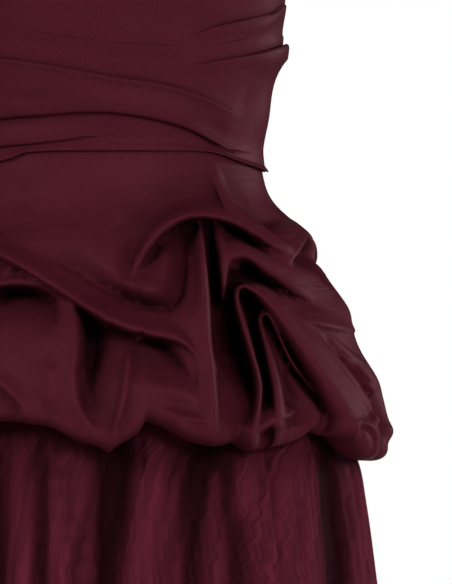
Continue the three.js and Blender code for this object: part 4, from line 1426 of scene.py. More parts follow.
@dataclass(frozen=True)
class Overskirt:
    """The satin bubble, caught up at the pick-ups, whose hem rolls under and returns to the tulle.

    Attributes:
        form: The form that its folds stand out from.
        top: The height of its upper edge.
        roll: The height of the hem's roll.
        hem_lift: How far the cloth stands out where the roll starts.
        hem_fullness: How full the roll is; a lower power is fuller.
        return_top: How high the turned-under cloth goes back up.
        return_to_tulle: How far it stays from the tulle's form.
        over_slip: How near a fold may come to the slip.
        over_tulle: How near a fold may come to the tulle.
        tulle_top: The height below which the tulle is in the way.
        highest: How far a fold may stand out.
        waist: The heights between which the folds grow out of the waist.
        floor_bend: How softly a fold bends where it would come too near the slip or the tulle.
        radius: The radius of the cylinder that carries the lift field.
        rounding: How round the field is at its knots.
        line_spacing: The distance between knots along a level.
        knot_spacing: How near another knot may lie.
        anchor_spacing: The angle between the knots at the waist and at the hem.
        ease: How far the field may miss a knot.
        blend: How softly rolls run into what is beside them.
        even: How many times the lift is evened out.
        thickness: How thick the cloth is.
        face_rows: Rows of points above the roll.
        roll_rows: Rows of points round the roll.
        return_rows: Rows of points of the turned-under cloth.
        inner_stride: How much coarser the cloth's inner face is.
        inner_even: How many times the directions towards the inner face are evened out.
        front_columns: Angles of the front, each with the number of its column.
        drawn_at: The angle of the pick-up that the folds were drawn at.
        pickups: The places where it is caught up.
        panels: Its front and backs.
    """

    form: Form = OVERSKIRT_OUTSIDE
    top: float = 2.0
    roll: float = 12.0
    hem_lift: float = 2.0
    hem_fullness: float = 0.65
    return_top: float = -180.0
    return_to_tulle: float = 3.0
    over_slip: float = 3.0
    over_tulle: float = 4.0
    tulle_top: float = -146.0
    highest: float = 15.0
    waist: tuple[float, float] = (-18.0, -3.0)
    floor_bend: float = 2.0
    radius: float = 150.0
    rounding: float = 4.0
    line_spacing: float = 7.0
    knot_spacing: float = 4.5
    anchor_spacing: float = 10.0
    ease: float = 0.6
    blend: float = 1.6
    even: int = 2
    thickness: float = 0.9
    face_rows: int = 177
    roll_rows: int = 20
    return_rows: int = 4
    inner_stride: int = 4
    inner_even: int = 6
    front_columns: Table = ((-89.94, 0), (-28, 70), (12, 146), (79, 404), (89.94, 420))
    drawn_at: float = 30.0
    pickups: tuple[Pickup, ...] = (
        Pickup(30),
        Pickup(-48, mirrored=True, spread=0.96, drop=6, strength=0.95),
        Pickup(120, drop=-4, strength=0.9),
        Pickup(-124, mirrored=True, spread=0.9, drop=3, strength=0.88),
    )
    panels: tuple[Panel, ...] = (
        Panel("overskirt_front", -90, 90, 420, (800, 300)),
        Panel("overskirt_back_left", 90, 180, 160, (360, 290)),
        Panel("overskirt_back_right", -180, -90, 160, (380, 300)),
    )

    def foot(self, angles: Array) -> Array:
        """Give the height at which the hem's roll starts."""
        return read_table(BUBBLE_HEM, angles)[0] + self.roll

    def anchors(self) -> Array:
        """Hold the cloth to its form at the waist, and near it at the hem.

        Returns:
            Rows of angle, height and lift.
        """
        angles = np.arange(-180.0, 180.0, self.anchor_spacing)
        waist = np.stack([angles, np.full_like(angles, self.top), np.zeros_like(angles)], axis=1)
        hem = np.stack([angles, self.foot(angles), np.full_like(angles, self.hem_lift)], axis=1)
        return np.concatenate([waist, hem])

    def field(self) -> LiftField:
        """Fit the faces and hollows of the front and of each pick-up.

        Returns:
            The field of how far the cloth stands out.
        """
        front = [level.knots(self.form, self.line_spacing) for level in FRONT_LEVELS]
        drawn = np.concatenate([level.knots(self.form, self.line_spacing) for level in PICKUP_LEVELS])
        first, *others = (pickup.knots(drawn, self.drawn_at) for pickup in self.pickups)
        knots = np.concatenate([first, *front, *others, self.anchors()])
        return LiftField(knots, self.radius, self.rounding, self.knot_spacing, self.ease)

    def traces(self) -> list[Trace]:
        """Lay the rolls of the front and of each pick-up.

        Returns:
            The rolls, in the order in which they are laid.
        """
        drawn = [roll.trace(self.form) for roll in PICKUP_ROLLS]
        turned = [pickup.trace(trace, self.drawn_at) for pickup in self.pickups for trace in drawn]
        return [roll.trace(self.form) for roll in FRONT_ROLLS] + turned

    def room(self, angle: Array, z: Array) -> Array:
        """Measure how deep a fold may go before it comes near the slip or the tulle.

        Args:
            angle: Angle of each place.
            z: Its height.

        Returns:
            The depth at each place.
        """
        outside = self.form.points(angle, z)
        slip = np.linalg.norm(outside - SLIP_OUTSIDE.points(angle, z), axis=2) - self.over_slip
        tulle = np.linalg.norm(outside - TULLE_OUTSIDE.points(angle, z), axis=2) - self.over_tulle
        return np.where(z > self.tulle_top, slip, np.minimum(slip, tulle)).clip(0.0)

    def face(self, soft: LiftField, angle: Array, z: Array) -> Array:
        """Shape the outer face above the hem's roll.

        Args:
            soft: The field of faces and hollows.
            angle: Angle of each point.
            z: Height of each point.

        Returns:
            The points of the face.
        """
        lift = np.ascontiguousarray(soft.read(angle, z))
        radius = self.form.radius(angle, z)
        for trace in self.traces():
            trace.raise_over(lift, angle, z, radius, self.blend)
        lift = self.evened(np.minimum(lift, self.highest)) * (1.0 - smoothstep(*self.waist, z))
        floor = -self.room(angle, z)
        return self.form.points(angle, z, floor + self.above_zero(lift - floor))

    def evened(self, lift: Array) -> Array:
        """Take the sharpness off the lift, as the cloth's own stiffness does.

        Args:
            lift: Rows by columns of lift.

        Returns:
            The evened lift.
        """
        for _ in range(self.even):
            padded = np.pad(lift, 1, mode="edge")
            lift = (2 * padded[1:-1, 1:-1] + padded[:-2, 1:-1] + padded[2:, 1:-1]) / 4
            padded = np.pad(lift, 1, mode="edge")
            lift = (2 * padded[1:-1, 1:-1] + padded[1:-1, :-2] + padded[1:-1, 2:]) / 4
        return lift

    def above_zero(self, height: Array) -> Array:
        """Keep a height above zero, with a soft bend instead of a corner."""
        return 0.5 * (height + np.sqrt(height**2 + self.floor_bend**2))

    def surface(self, soft: LiftField, angles: Array) -> Array:
        """Shape a panel's outer face, its hem's roll and its return.

        Args:
            soft: The field of folds.
            angles: The panel's columns.

        Returns:
            Rows by columns of points.
        """
        foot = self.foot(angles)
        share = np.linspace(0.0, 1.0, self.face_rows)[:, None]
        z = self.top + (foot - self.top) * share
        face = self.face(soft, np.ascontiguousarray(np.broadcast_to(angles, z.shape)), z)
        outer = face[-1]
        inner = TULLE_OUTSIDE.points(angles, foot, self.return_to_tulle)
        turn = np.linspace(0.0, np.pi, self.roll_rows + 1)[1:, None, None]
        roll = outer + (inner - outer) * (1.0 - np.cos(turn)) / 2.0
        roll[..., 2] = foot - self.roll * np.sin(turn[..., 0]).clip(0.0) ** self.hem_fullness
        back = np.linspace(0.0, 1.0, self.return_rows + 1)[1:, None]
        close = TULLE_OUTSIDE.points(angles, foot + (self.return_top - foot) * back, self.return_to_tulle)
        return np.concatenate([face, roll, close])

    def columns(self, panel: Panel) -> Array:
        """Space a panel's columns, on the front closest where its folds are finest.

        Args:
            panel: The panel.

        Returns:
            The angle of each column.
        """
        if panel.name != "overskirt_front":
            return panel.angles()
        angles, numbers = np.array(self.front_columns, float).T
        return np.interp(np.arange(panel.columns + 1), numbers, angles)

    def build(self) -> None:
        """Make the overskirt's panels."""
        soft = self.field()
        LOG.info("overskirt: %d knots", len(soft.places))
        for panel in self.panels:
            grid = self.surface(soft, self.columns(panel))
            piece = cloth_piece(
                f"{panel.name}_satin", grid, self.thickness, SATIN, self.inner_even, self.inner_stride
            )
            settle(piece, panel.name)


# --------------------------------------------------------------------------- slip and tulle


@dataclass(frozen=True)
class Slip:
    """The plain slip under the skirt, which carries the bubble and the tulle.

    Attributes:
        form: The form of its outer face.
        top: The height of its upper edge.
        hem: The height of its hem.
        rows: Rows of points of a panel.
        thickness: How thick the cloth is.
        sway: How deep its waves are at the hem.
        waves: For each wave, how many go round the dress, its phase and its share.
        set_in: How far inside the form the waves' middle lies, in sways.
        hang: The heights between which the waves die out.
        panels: Its front and backs.
    """

    form: Form = SLIP_OUTSIDE
    top: float = -12.0
    hem: float = -428.0
    rows: int = 70
    thickness: float = 0.6
    sway: float = 1.6
    waves: Table = ((11, 0.4, 1.0), (19, 2.0, 0.5))
    set_in: float = 1.0
    hang: tuple[float, float] = (-420.0, -150.0)
    panels: tuple[Panel, ...] = (
        Panel("slip_front", -90, 90, 120, (520, 430)),
        Panel("slip_back_left", 90, 180, 60, (270, 430)),
        Panel("slip_back_right", -180, -90, 60, (270, 430)),
    )

    def build(self) -> None:
        """Make the slip's panels."""
        for panel in self.panels:
            angle, z = np.meshgrid(panel.angles(), np.linspace(self.top, self.hem, self.rows))
            turn = np.radians(angle)
            wave = sum(share * np.sin(count * turn + phase) for count, phase, share in self.waves)
            out = self.sway * (1.0 - smoothstep(*self.hang, z)) * (wave - self.set_in)
            piece = cloth_piece(f"{panel.name}_cloth", self.form.points(angle, z, out), self.thickness, SLIP)
            settle(piece, panel.name)


# The heights at which a flute of the tulle is drawn, by how many it is given at.
FLUTE_HEIGHTS = {3: (-222, -304, -440), 4: (-222, -262, -304, -440)}


def flute(name: str, across: tuple[float, ...], lift: tuple[float, ...]) -> Level:
    """Draw a soft upright fold of the tulle, with its place and lift at each of the usual heights."""
    return Level(name, tuple(zip(across, FLUTE_HEIGHTS[len(across)], lift)))


OUTER_FLUTES = (
    flute("light_left", (-53, -50, -52), (4, 6, 7)),
    flute("dark_left", (-37, -37, -39, -41), (-3, -5, -6, -7)),
    flute("ridge_left", (-30, -28, -30), (3, 5, 6)),
    Level("slant_left", ((-24, -232, -1), (-18, -270, -1.5), (-12, -304, -1), (-6, -440, 0))),
    Level("flat_middle", ((-8, -222, 1.5), (-7, -270, 2), (-3, -304, 2), (-2, -440, 3))),
    Level("dark_middle", ((18, -215, -8), (17, -240, -8), (14, -268, -9), (8, -304, -9), (4, -440, -9))),
    Level("light_middle", ((45, -205, 4), (40, -240, 6), (34, -270, 8), (27, -304, 9), (20, -440, 9))),
    flute("panel_right", (50, 47, 44, 42), (0, 2, 3, 4)),
    flute("mid_right", (60, 59, 60, 58), (-2, 0, 1, 2)),
    flute("dark_right", (78, 75, 73, 72), (-6, -5, -5, -5)),
    Level("light_right", ((86, -236, 0), (85, -270, 3), (86, -304, 5), (88, -440, 6))),
    flute("line_right", (93, 97, 99, 101), (-5, -4, -4, -4)),
    flute("ridge_right", (103, 105, 106, 109), (2, 4, 5, 6)),
    flute("broad_left", (117, 119, 120, 123), (2, 3.5, 4, 5)),
    flute("broad_right", (136, 140, 141, 146), (3.5, 4.5, 5, 6)),
    flute("ridge_side", (152, 156, 159, 164), (4, 5, 5, 5)),
    flute("dark_side", (167, 169, 171, 179), (-6, -7, -7, -8)),
    flute("side", (179, 183, 187, 199), (1, 2, 2, 3)),
    flute("far_left_dark", (-70, -70, -73), (-4, -6, -7)),
    flute("far_left", (-92, -94, -100), (4, 6, 7)),
    flute("left_side_dark", (-118, -122, -130), (-5, -6, -7)),
    flute("left_side", (-146, -152, -163), (4, 5, 6)),
    flute("left_edge", (-172, -181, -196), (-3, -4, -5)),
)

# The under layer's flutes lie at these places and stand out and sink in by turns.
UNDER_PLACES = (
    (-140, -146, -158), (-110, -114, -122), (-76, -80, -86), (-44, -46, -50), (-14, -16, -18), (16, 16, 14),
    (48, 50, 54), (84, 88, 94), (116, 122, 130), (146, 154, 166),
)
UNDER_FLUTES = tuple(
    flute(f"under_{k}", across, (-4, -5, -6) if k % 2 else (3, 4, 5)) for k, across in enumerate(UNDER_PLACES)
)


@dataclass(frozen=True)
class TulleLayer:
    """A layer of gathered tulle under the bubble.

    Attributes:
        name: The layer's name.
        form: The form of its outer face.
        top: The height of its gathered top.
        hem: The height of its cut hem.
        flutes: Its soft folds, as seen from the front.
        seed: What its hidden flutes and its small gathers start from.
        count: How many flutes the sides and back have.
        flat: Width and length of the cloth that each panel is cut from.
        rows: Rows of points of a panel.
        columns: How many strips of faces lie across a panel.
        thickness: How thick the net is.
        gather: How deep the small gathers are.
        gather_counts: How many small gathers of each kind go round the dress.
        wander: How far a gather runs aside over ten centimetres, as a share of its own width.
        gather_start: The share of the layer's length over which gathers come in.
        gather_loss: How much of their depth they have lost at the hem.
        behind: The angles between which the hidden flutes lie.
        stray: How far a hidden flute may stray from its even place.
        swing: How far round it may have run at the hem.
        depth: How deep the hidden flutes are.
        uneven: The shares of that depth between which they differ.
        at_top: How much of its depth a hidden flute has at the top.
        bounds: How far flutes may sink in and stand out.
        grown: How far under the top flutes start, and where they have their whole depth.
        painted_shade_lifts: The lift of a place that sees little and of one that sees all, between which the
            painted shade of a hollow fades out.
        least_open: The openness of a place that sees little, where the painted shade is darkest.
        painted_bubble_shadow: How much painted shadow the bubble casts on the net right under it.
        shaded: The heights between which that painted shadow comes in.
    """

    name: str
    form: Form
    top: float
    hem: float
    flutes: tuple[Level, ...]
    seed: int
    count: int
    flat: tuple[float, float]
    rows: int = 60
    columns: int = 300
    thickness: float = 0.35
    gather: float = 0.7
    gather_counts: tuple[int, ...] = (61, 83, 104, 131, 158)
    wander: float = 0.48
    gather_start: float = 0.06
    gather_loss: float = 0.55
    behind: tuple[float, float] = (100.0, 260.0)
    stray: float = 2.5
    swing: float = 4.0
    depth: float = 5.0
    uneven: tuple[float, float] = (0.6, 1.25)
    at_top: float = 0.45
    bounds: tuple[float, float] = (-8.0, 9.0)
    grown: tuple[float, float] = (4.0, 34.0)
    painted_shade_lifts: tuple[float, float] = (-6.0, 4.5)
    least_open: float = 0.15
    painted_bubble_shadow: float = 0.3
    shaded: tuple[float, float] = (-250.0, -212.0)

    def down(self, z: Array) -> Array:
        """Give how far down the layer a height lies, as a share."""
        return (self.top - z) / (self.top - self.hem)

    def hidden_flutes(self) -> Array:
        """Carry the flutes on round the sides and back, each a little different.

        Returns:
            Rows of angle, height and lift.
        """
        rng = np.random.default_rng(self.seed)
        below_top, steps = 30.0, 12
        knots = []
        for k, angle in enumerate(np.linspace(*self.behind, self.count)):
            at = angle + rng.uniform(-self.stray, self.stray)
            lift = (self.depth if k % 2 else -self.depth) * rng.uniform(*self.uneven)
            swing = rng.uniform(-self.swing, self.swing)
            for z in np.linspace(self.top - below_top, self.hem, steps):
                place = (at + swing * self.down(z) + 180) % 360 - 180
                grown = self.at_top + (1.0 - self.at_top) * self.down(z)
                knots.append((place, z, lift * grown))
        return np.array(knots)

    def field(self) -> LiftField:
        """Fit the layer's soft folds.

        Returns:
            The field of how far the net stands out.
        """
        along_flutes, along_top = 16.0, 8
        seen = [fold.knots(self.form, along_flutes) for fold in self.flutes]
        ring = [(angle, self.top, 0.0) for angle in range(-180, 180, along_top)]
        knots = np.concatenate([*seen, self.hidden_flutes(), np.array(ring)])
        return LiftField(knots, radius=165.0, rounding=5.0, spacing=5.0, ease=0.6)

    def gathers(self, angle: Array, z: Array) -> Array:
        """Work out the close small gathers that run down from the seam.

        Args:
            angle: Angle of each place.
            z: Its height.

        Returns:
            How far the net stands out at each place.
        """
        rng = np.random.default_rng(self.seed + 1)
        turn = np.radians(angle)
        full_turn, waves, ten_centimetres, weakest = 6.3, 3, 100.0, 0.5
        total = np.zeros_like(angle)
        for count in self.gather_counts:
            aside = self.wander * np.sin(waves * turn + rng.uniform(0, full_turn))
            drift = aside * (self.top - z) / ten_centimetres
            total += np.sin(count * turn + rng.uniform(0, full_turn) + drift) * rng.uniform(weakest, 1.0)
        down = self.down(z)
        depth = self.gather * total * (1.0 - self.gather_loss * down)
        return depth * smoothstep(0.0, self.gather_start, down)

    def panel_piece(self, soft: LiftField, panel: Panel) -> bpy.types.Object:
        """Make a panel.

        Args:
            soft: The field of soft folds.
            panel: The panel.

        Returns:
            The new piece.
        """
        angle, z = np.meshgrid(panel.angles(), np.linspace(self.top, self.hem, self.rows))
        start, whole = (self.top - drop for drop in self.grown)
        out = np.clip(soft.read(angle, z), *self.bounds) * (1.0 - smoothstep(whole, start, z))
        # Painted shade: the net's openness, which darkens its colour, is lowered in its hollows and, as the
        # bubble's painted shadow, right under the bubble.
        shade = 1.0 - self.painted_bubble_shadow * smoothstep(*self.shaded, z)
        opened = (self.least_open + (1.0 - self.least_open) * smoothstep(*self.painted_shade_lifts, out)) * shade
        grid = self.form.points(angle, z, out + self.gathers(angle, z))
        return cloth_piece(f"{panel.name}_net", grid, self.thickness, TULLE, opened=opened)

    def build(self) -> None:
        """Make the layer's front and back."""
        soft = self.field()
        for side, start, end, slips in (
            ("front", -90, 90, ["slip_front_cloth"]),
            ("back", 90, 270, ["slip_back_left_cloth", "slip_back_right_cloth"]),
        ):
            panel = Panel(f"{self.name}_{side}", start, end, self.columns, self.flat)
            piece = self.panel_piece(soft, panel)
            settle(piece, panel.name)


# --------------------------------------------------------------------------- bodice


class Row(NamedTuple):
    """A row of the bodice's front.

    Attributes:
        z: Its height at each column.
        lift: How far it stands out there.
    """

    z: Array
    lift: Array


@dataclass(frozen=True)
class Pleat:
    """A pleat laid round the front of the bodice.

    Attributes:
        name: What it is called.
        path: Points along its folded edge, each with its distance across and height, as seen
            square on, and how far it stands out.
        faces_up: Whether the folded edge faces up.
        late: Whether the cloth only stands out close to the edge.
        swell: How far the cloth behind the edge stands out at the wearer's left side.
        swell_from: The distances across between which that swell comes in.
        tuck: How far along the folds of its section reach, as a share of the lift.
        least_size: The least lift that such a share is taken of.
        slight: The lifts between which the edge starts to fold over.
        section: The section of an edge that faces up, from the bottom up: how far along from
            the edge, in tucks, and how much of the lift is left.
    """

    name: str
    path: Table
    faces_up: bool = True
    late: bool = False
    swell: float = 0.0
    swell_from: tuple[float, float] = (100.0, 128.0)
    tuck: float = 0.55
    least_size: float = 1.5
    slight: tuple[float, float] = (1.9, 3.0)
    section: Table = (
        (-1.9, 0.94), (-1.1, 0.99), (-0.4, 1.0), (0.0, 0.86), (0.15, 0.6), (-0.05, 0.32), (-0.6, 0.17),
        (-0.9, 0.08), (-0.6, 0.02), (0.2, 0.0), (0.9, 0.0),
    )

    @property
    def height(self) -> float:
        """Give the edge's height near the middle of the front."""
        return self.path[4][1]

    def rows(self, across: Array, floor: float) -> list[Row]:
        """Fold the cloth over at the edge, or leave it smooth where the pleat is slight.

        Args:
            across: How far across each column lies.
            floor: How far plain cloth stands out.

        Returns:
            The rows of the fold, from the bottom up.
        """
        edge, lift = read_table(self.path, across)
        held = floor + self.swell * smoothstep(*self.swell_from, across)
        size = self.tuck * np.maximum(lift, self.least_size)
        folded, left = (column[:, None] for column in np.array(self.section).T)
        out = held + (lift - held).clip(0) * left
        smooth = np.linspace(folded[0, 0], folded[-1, 0], len(folded))[:, None]
        along = smooth + (folded - smooth) * smoothstep(*self.slight, lift)
        if not self.faces_up:
            along, out = -along[::-1], out[::-1]
        return [Row(*row) for row in zip(edge + size * along, out)]


BODICE_PLEATS = (
    Pleat("low_tuck", (
        (-119, -3, 1.5), (-63, 4, 3.6), (-41, 6, 3.6), (-13, 9, 2.6), (10, 10.5, 0), (40, 10, 0),
        (60, 8, 0), (86, 3.2, 0), (97, -1.3, 0), (119, -8, 0),
    ), faces_up=False),
    Pleat("lower_wrap", (
        (-119, 12, 2), (-104, 19, 3), (-63, 24.3, 5.5), (-41, 25.7, 6), (-13, 27.9, 6.4), (9, 27.9, 6.6),
        (28, 25.7, 6.6), (49, 21.4, 6.6), (69, 15, 6.2), (86, 7.1, 5.2), (97, 1.5, 3), (119, -2, 0),
    ), faces_up=False),
    Pleat("middle_wrap", (
        (-122, 78, 2), (-106, 71, 3), (-63, 66.1, 3.5), (-41, 62.9, 4), (-13, 57.9, 4.5), (14, 52.9, 4.5),
        (41, 49.3, 4.5), (69, 42.1, 4.5), (96, 30.7, 3.5), (107, 23.6, 2), (121, 19, 0),
    )),
    Pleat("side_loop", (
        (-128, 112, 0), (-110, 92, 0), (-63, 81, 0), (-13, 72, 0), (30, 66, 0), (60, 63, 0),
        (76, 63.6, 2.2), (103, 68.5, 4), (118, 73, 7.5), (129, 78.5, 10),
    ), late=True, swell=4.8),
    Pleat("upper_wrap", (
        (-129, 120, 2), (-111, 106, 2), (-63, 92.9, 1.8), (-41, 86.4, 1.8), (-13, 81.8, 1.8),
        (14, 78.6, 1.8), (49, 77.1, 1.5), (76, 76.4, 0.8), (103, 81, 1.5), (129, 88, 1.5),
    ), swell=3.8),
    Pleat("under_bust", (
        (-131, 152, 2), (-113, 136, 2), (-68, 122, 1.5), (-32, 112, 0.8), (5, 100, 0.4), (40, 90, 0.4),
        (65, 84.3, 1), (83, 89.3, 2.4), (103, 94.3, 3.4), (121, 100, 4.4), (130, 107, 5),
    ), swell=3.4),
    Pleat("over_bust", (
        (-137, 182, 1.5), (-119, 174, 3), (-69, 165, 3), (-33, 159, 3), (5, 153, 3), (42, 147, 3),
        (77, 141, 3), (105, 138, 3), (125, 139, 3), (137, 144, 1.5),
    )),
)


class Swell(NamedTuple):
    """A soft hump or hollow of the cloth.

    Attributes:
        x: How far across its middle lies.
        z: The height of its middle.
        lift: How far it stands out there.
        along: Its size along its own direction.
        across: Its size across that.
        lean: The direction's angle from level.
    """

    x: float
    z: float
    lift: float
    along: float
    across: float
    lean: float

    def at(self, x: Array, z: Array) -> Array:
        """Work out how far it lifts the cloth.

        Args:
            x: How far across each place lies.
            z: Its height.

        Returns:
            The lift at each place.
        """
        turn = np.radians(self.lean)
        along = ((x - self.x) * np.cos(turn) + (z - self.z) * np.sin(turn)) / self.along
        across = ((z - self.z) * np.cos(turn) - (x - self.x) * np.sin(turn)) / self.across
        return self.lift * np.exp(-along * along - across * across)


FRONT_SWELLS = (
    Swell(91, 15, -4.6, 18, 8, -24),
    Swell(86, 36, 1.4, 24, 6, -22),
    Swell(112, 34, -1.8, 22, 5, 78),
    Swell(118, 52, 1.0, 18, 4.5, 68),
    Swell(127, 26, 2.4, 20, 6, 90),
    Swell(118, 92, 1.4, 14, 3.5, 50),
    Swell(-48, 38, -1.4, 26, 3.5, -2),
    Swell(-70, 48, -1.6, 24, 12, 80),
    Swell(-112, 30, 1.6, 20, 5, 100),
)
BACK_SWELLS = (
    Swell(78, 14, 1.5, 44, 4.5, 7),
    Swell(88, 36, 1.3, 36, 5, -3),
    Swell(96, 62, 1.2, 30, 6, -10),
    Swell(100, 94, 1.0, 28, 6, -16),
    Swell(-72, 18, 1.4, 46, 5, -6),
    Swell(-88, 40, 1.2, 36, 5, 4),
    Swell(-98, 96, 1.2, 28, 6, 16),
)


@dataclass(frozen=True)
class Bodice:
    """The draped bodice: a front of wrapped pleats and two plain back panels.

    Attributes:
        form: The form of its inside.
        top_front: The height of its top edge at the centre front.
        top_back: The height of its top edge at the centre back.
        thickness: How thick the backs' cloth is.
        front_thickness: How thick the front's cloth is, as a share of that.
        floor: How far the front's plain cloth stands out.
        hem_lift: How far the front stands out at its hem.
        top_lift: How far the front stands out at its top edge.
        back_lift: How far the backs stand out.
        half_width: Half the width that turns angles into distances across for the swells.
        zip_gap: The angle that the backs stay short of the centre back, for the zip.
        rows_between: Rows of points from one pleat to the next.
        back_rows: Rows of points of a back.
        front: Its front.
        backs: Its two backs.
    """

    form: Form = BODICE_INSIDE
    top_front: float = 206.0
    top_back: float = 186.0
    thickness: float = 1.5
    front_thickness: float = 0.7
    floor: float = 0.4
    hem_lift: float = 2.6
    top_lift: float = 0.8
    back_lift: float = 0.5
    half_width: float = 130.0
    zip_gap: float = 0.36
    rows_between: int = 9
    back_rows: int = 90
    front: Panel = Panel("bodice_front", -90, 90, 260, (400, 300))
    backs: tuple[Panel, ...] = (
        Panel("bodice_back_left", 90, 180, 70, (200, 215)),
        Panel("bodice_back_right", -180, -90, 70, (200, 215)),
    )

    def hem(self, angle: Array) -> Array:
        """Give the height of the hem."""
        return read_table(BODICE_HEM, angle)[0]

    def top(self, angle: Array) -> Array:
        """Give the height of the top edge."""
        return self.top_back + (self.top_front - self.top_back) * (1 + np.cos(np.radians(angle))) / 2

    def swollen(self, swells: tuple[Swell, ...], angle: Array, z: Array) -> Array:
        """Add up how far the swells lift the cloth at each place."""
        across = self.half_width * np.sin(np.radians(angle))
        return sum(swell.at(across, z) for swell in swells)

    def front_rows(self, angles: Array) -> list[Row]:
        """Lay out the front's rows from its hem to its top.

        Args:
            angles: The panel's columns.

        Returns:
            The rows.
        """
        rows = [Row(self.hem(angles), np.full_like(angles, self.hem_lift))]
        for pleat in BODICE_PLEATS:
            width = read_table(self.form.rows, pleat.height)[0] + self.thickness
            folded = pleat.rows(width * np.sin(np.radians(angles)), self.floor)
            rows += self.bridge(rows[-1], folded[0], pleat.late) + folded
        last = Row(self.top(angles), np.full_like(angles, self.top_lift))
        return [*rows, *self.bridge(rows[-1], last, False), last]

    def bridge(self, start: Row, end: Row, late: bool) -> list[Row]:
        """Run smoothly from one row to the next pleat.

        Args:
            start: The row below.
            end: The row above.
            late: Whether the cloth only stands out close to the row above.

        Returns:
            The rows between them.
        """
        rows = []
        for share in np.linspace(0.0, 1.0, self.rows_between + 2)[1:-1]:
            rise = share**4 if late else share * share * (3 - 2 * share)
            z = start.z + (end.z - start.z) * share
            rows.append(Row(z, start.lift + (end.lift - start.lift) * rise))
        return rows

    def finish(self, panel: Panel, grid: Array, thickness: float) -> None:
        """Make a panel's piece.

        Args:
            panel: The panel.
            grid: The points of its outer face, top row first.
            thickness: How thick its cloth is.
        """
        piece = cloth_piece(f"{panel.name}_satin", grid, thickness, SATIN)
        settle(piece, panel.name)

    def build(self) -> None:
        """Make the bodice's front and backs."""
        rows = self.front_rows(self.front.angles())
        z, lift = (np.array(column) for column in zip(*rows))
        angle = np.broadcast_to(self.front.angles(), z.shape)
        lift = lift + self.swollen(FRONT_SWELLS, angle, z)
        grid = self.form.points(angle, z, self.thickness + lift)[::-1]
        self.finish(self.front, grid, self.thickness * self.front_thickness)
        share = np.linspace(1.0, 0.0, self.back_rows)[:, None]
        for panel in self.backs:
            angle = panel.angles(self.zip_gap)
            z = self.hem(angle) + (self.top(angle) - self.hem(angle)) * share
            angle = np.broadcast_to(angle, z.shape)
            lift = self.back_lift + self.swollen(BACK_SWELLS, angle, z)
            self.finish(panel, self.form.points(angle, z, self.thickness + lift), self.thickness)


# --------------------------------------------------------------------------- zip


class CoilTree(NodeMaker):
    """A Geometry Nodes tree that strings loops of wire along a rail."""

    LOOP_SIDES = 10
    WIRE_SIDES = 5

    def __init__(self) -> None:
        """Build the tree with its named inputs."""
        super().__init__(bpy.data.node_groups.new("zip_coil", "GeometryNodeTree"))
        self.sockets = {}
        for name, kind in (
            ("Rail", "Geometry"),
            ("Pitch", "Float"),
            ("Loop Radius", "Float"),
            ("Wire", "Float"),
            ("Flatness", "Float"),
            ("Finish", "Material"),
        ):
            socket = self.tree.interface.new_socket(name, in_out="INPUT", socket_type=f"NodeSocket{kind}")
            self.sockets[name] = socket.identifier
        self.tree.interface.new_socket("Coil", in_out="OUTPUT", socket_type="NodeSocketGeometry")
        given = self.tree.nodes.new("NodeGroupInput").outputs
        rail = self.out("GeometryNodeMeshToCurve", {"Mesh": given["Rail"]})
        values = {"Curve": rail, "Length": given["Pitch"]}
        spots = self.out("GeometryNodeResampleCurve", values, mode="LENGTH")
        loop = self.ring(given["Loop Radius"], self.LOOP_SIDES)
        values = {"Curve": loop, "Profile Curve": self.ring(given["Wire"], self.WIRE_SIDES)}
        round_loop = self.out("GeometryNodeCurveToMesh", values)
        size = self.out("ShaderNodeCombineXYZ", {"X": 1.0, "Y": given["Flatness"], "Z": 1.0})
        flat_loop = self.out("GeometryNodeTransform", {"Geometry": round_loop, "Scale": size})
        strung = self.out("GeometryNodeInstanceOnPoints", {"Points": spots, "Instance": flat_loop})
        real = self.out("GeometryNodeRealizeInstances", {"Geometry": strung})
        smooth = self.out("GeometryNodeSetShadeSmooth", {"Geometry": real})
        made = self.out("GeometryNodeSetMaterial", {"Geometry": smooth, "Material": given["Finish"]})
        self.tree.links.new(made, self.tree.nodes.new("NodeGroupOutput").inputs["Coil"])

    def ring(self, radius: Socket, sides: int) -> Socket:
        """Draw a round of so many sides."""
        return self.out("GeometryNodeCurvePrimitiveCircle", {"Radius": radius, "Resolution": sides})

    def string(self, name: str, rail: Array, values: dict) -> bpy.types.Object:
        """String loops along a rail.

        Args:
            name: The piece's name.
            rail: The rail's points, one a row.
            values: The tree's inputs by name, besides the rail.

        Returns:
            The piece, as a plain mesh.
        """
        line = bpy.data.meshes.new(f"{name}_rail")
        line.from_pydata((rail * MM).tolist(), [(k, k + 1) for k in range(len(rail) - 1)], [])
        holder = show(f"{name}_rail", line)
        modifier = holder.modifiers.new("coil", "NODES")
        modifier.node_group = self.tree
        for key, value in values.items():
            modifier[self.sockets[key]] = value
        made = holder.evaluated_get(bpy.context.evaluated_depsgraph_get())
        mesh = bpy.data.meshes.new_from_object(made)
        mesh.name = name
        bpy.data.objects.remove(holder)
        return show(name, mesh)


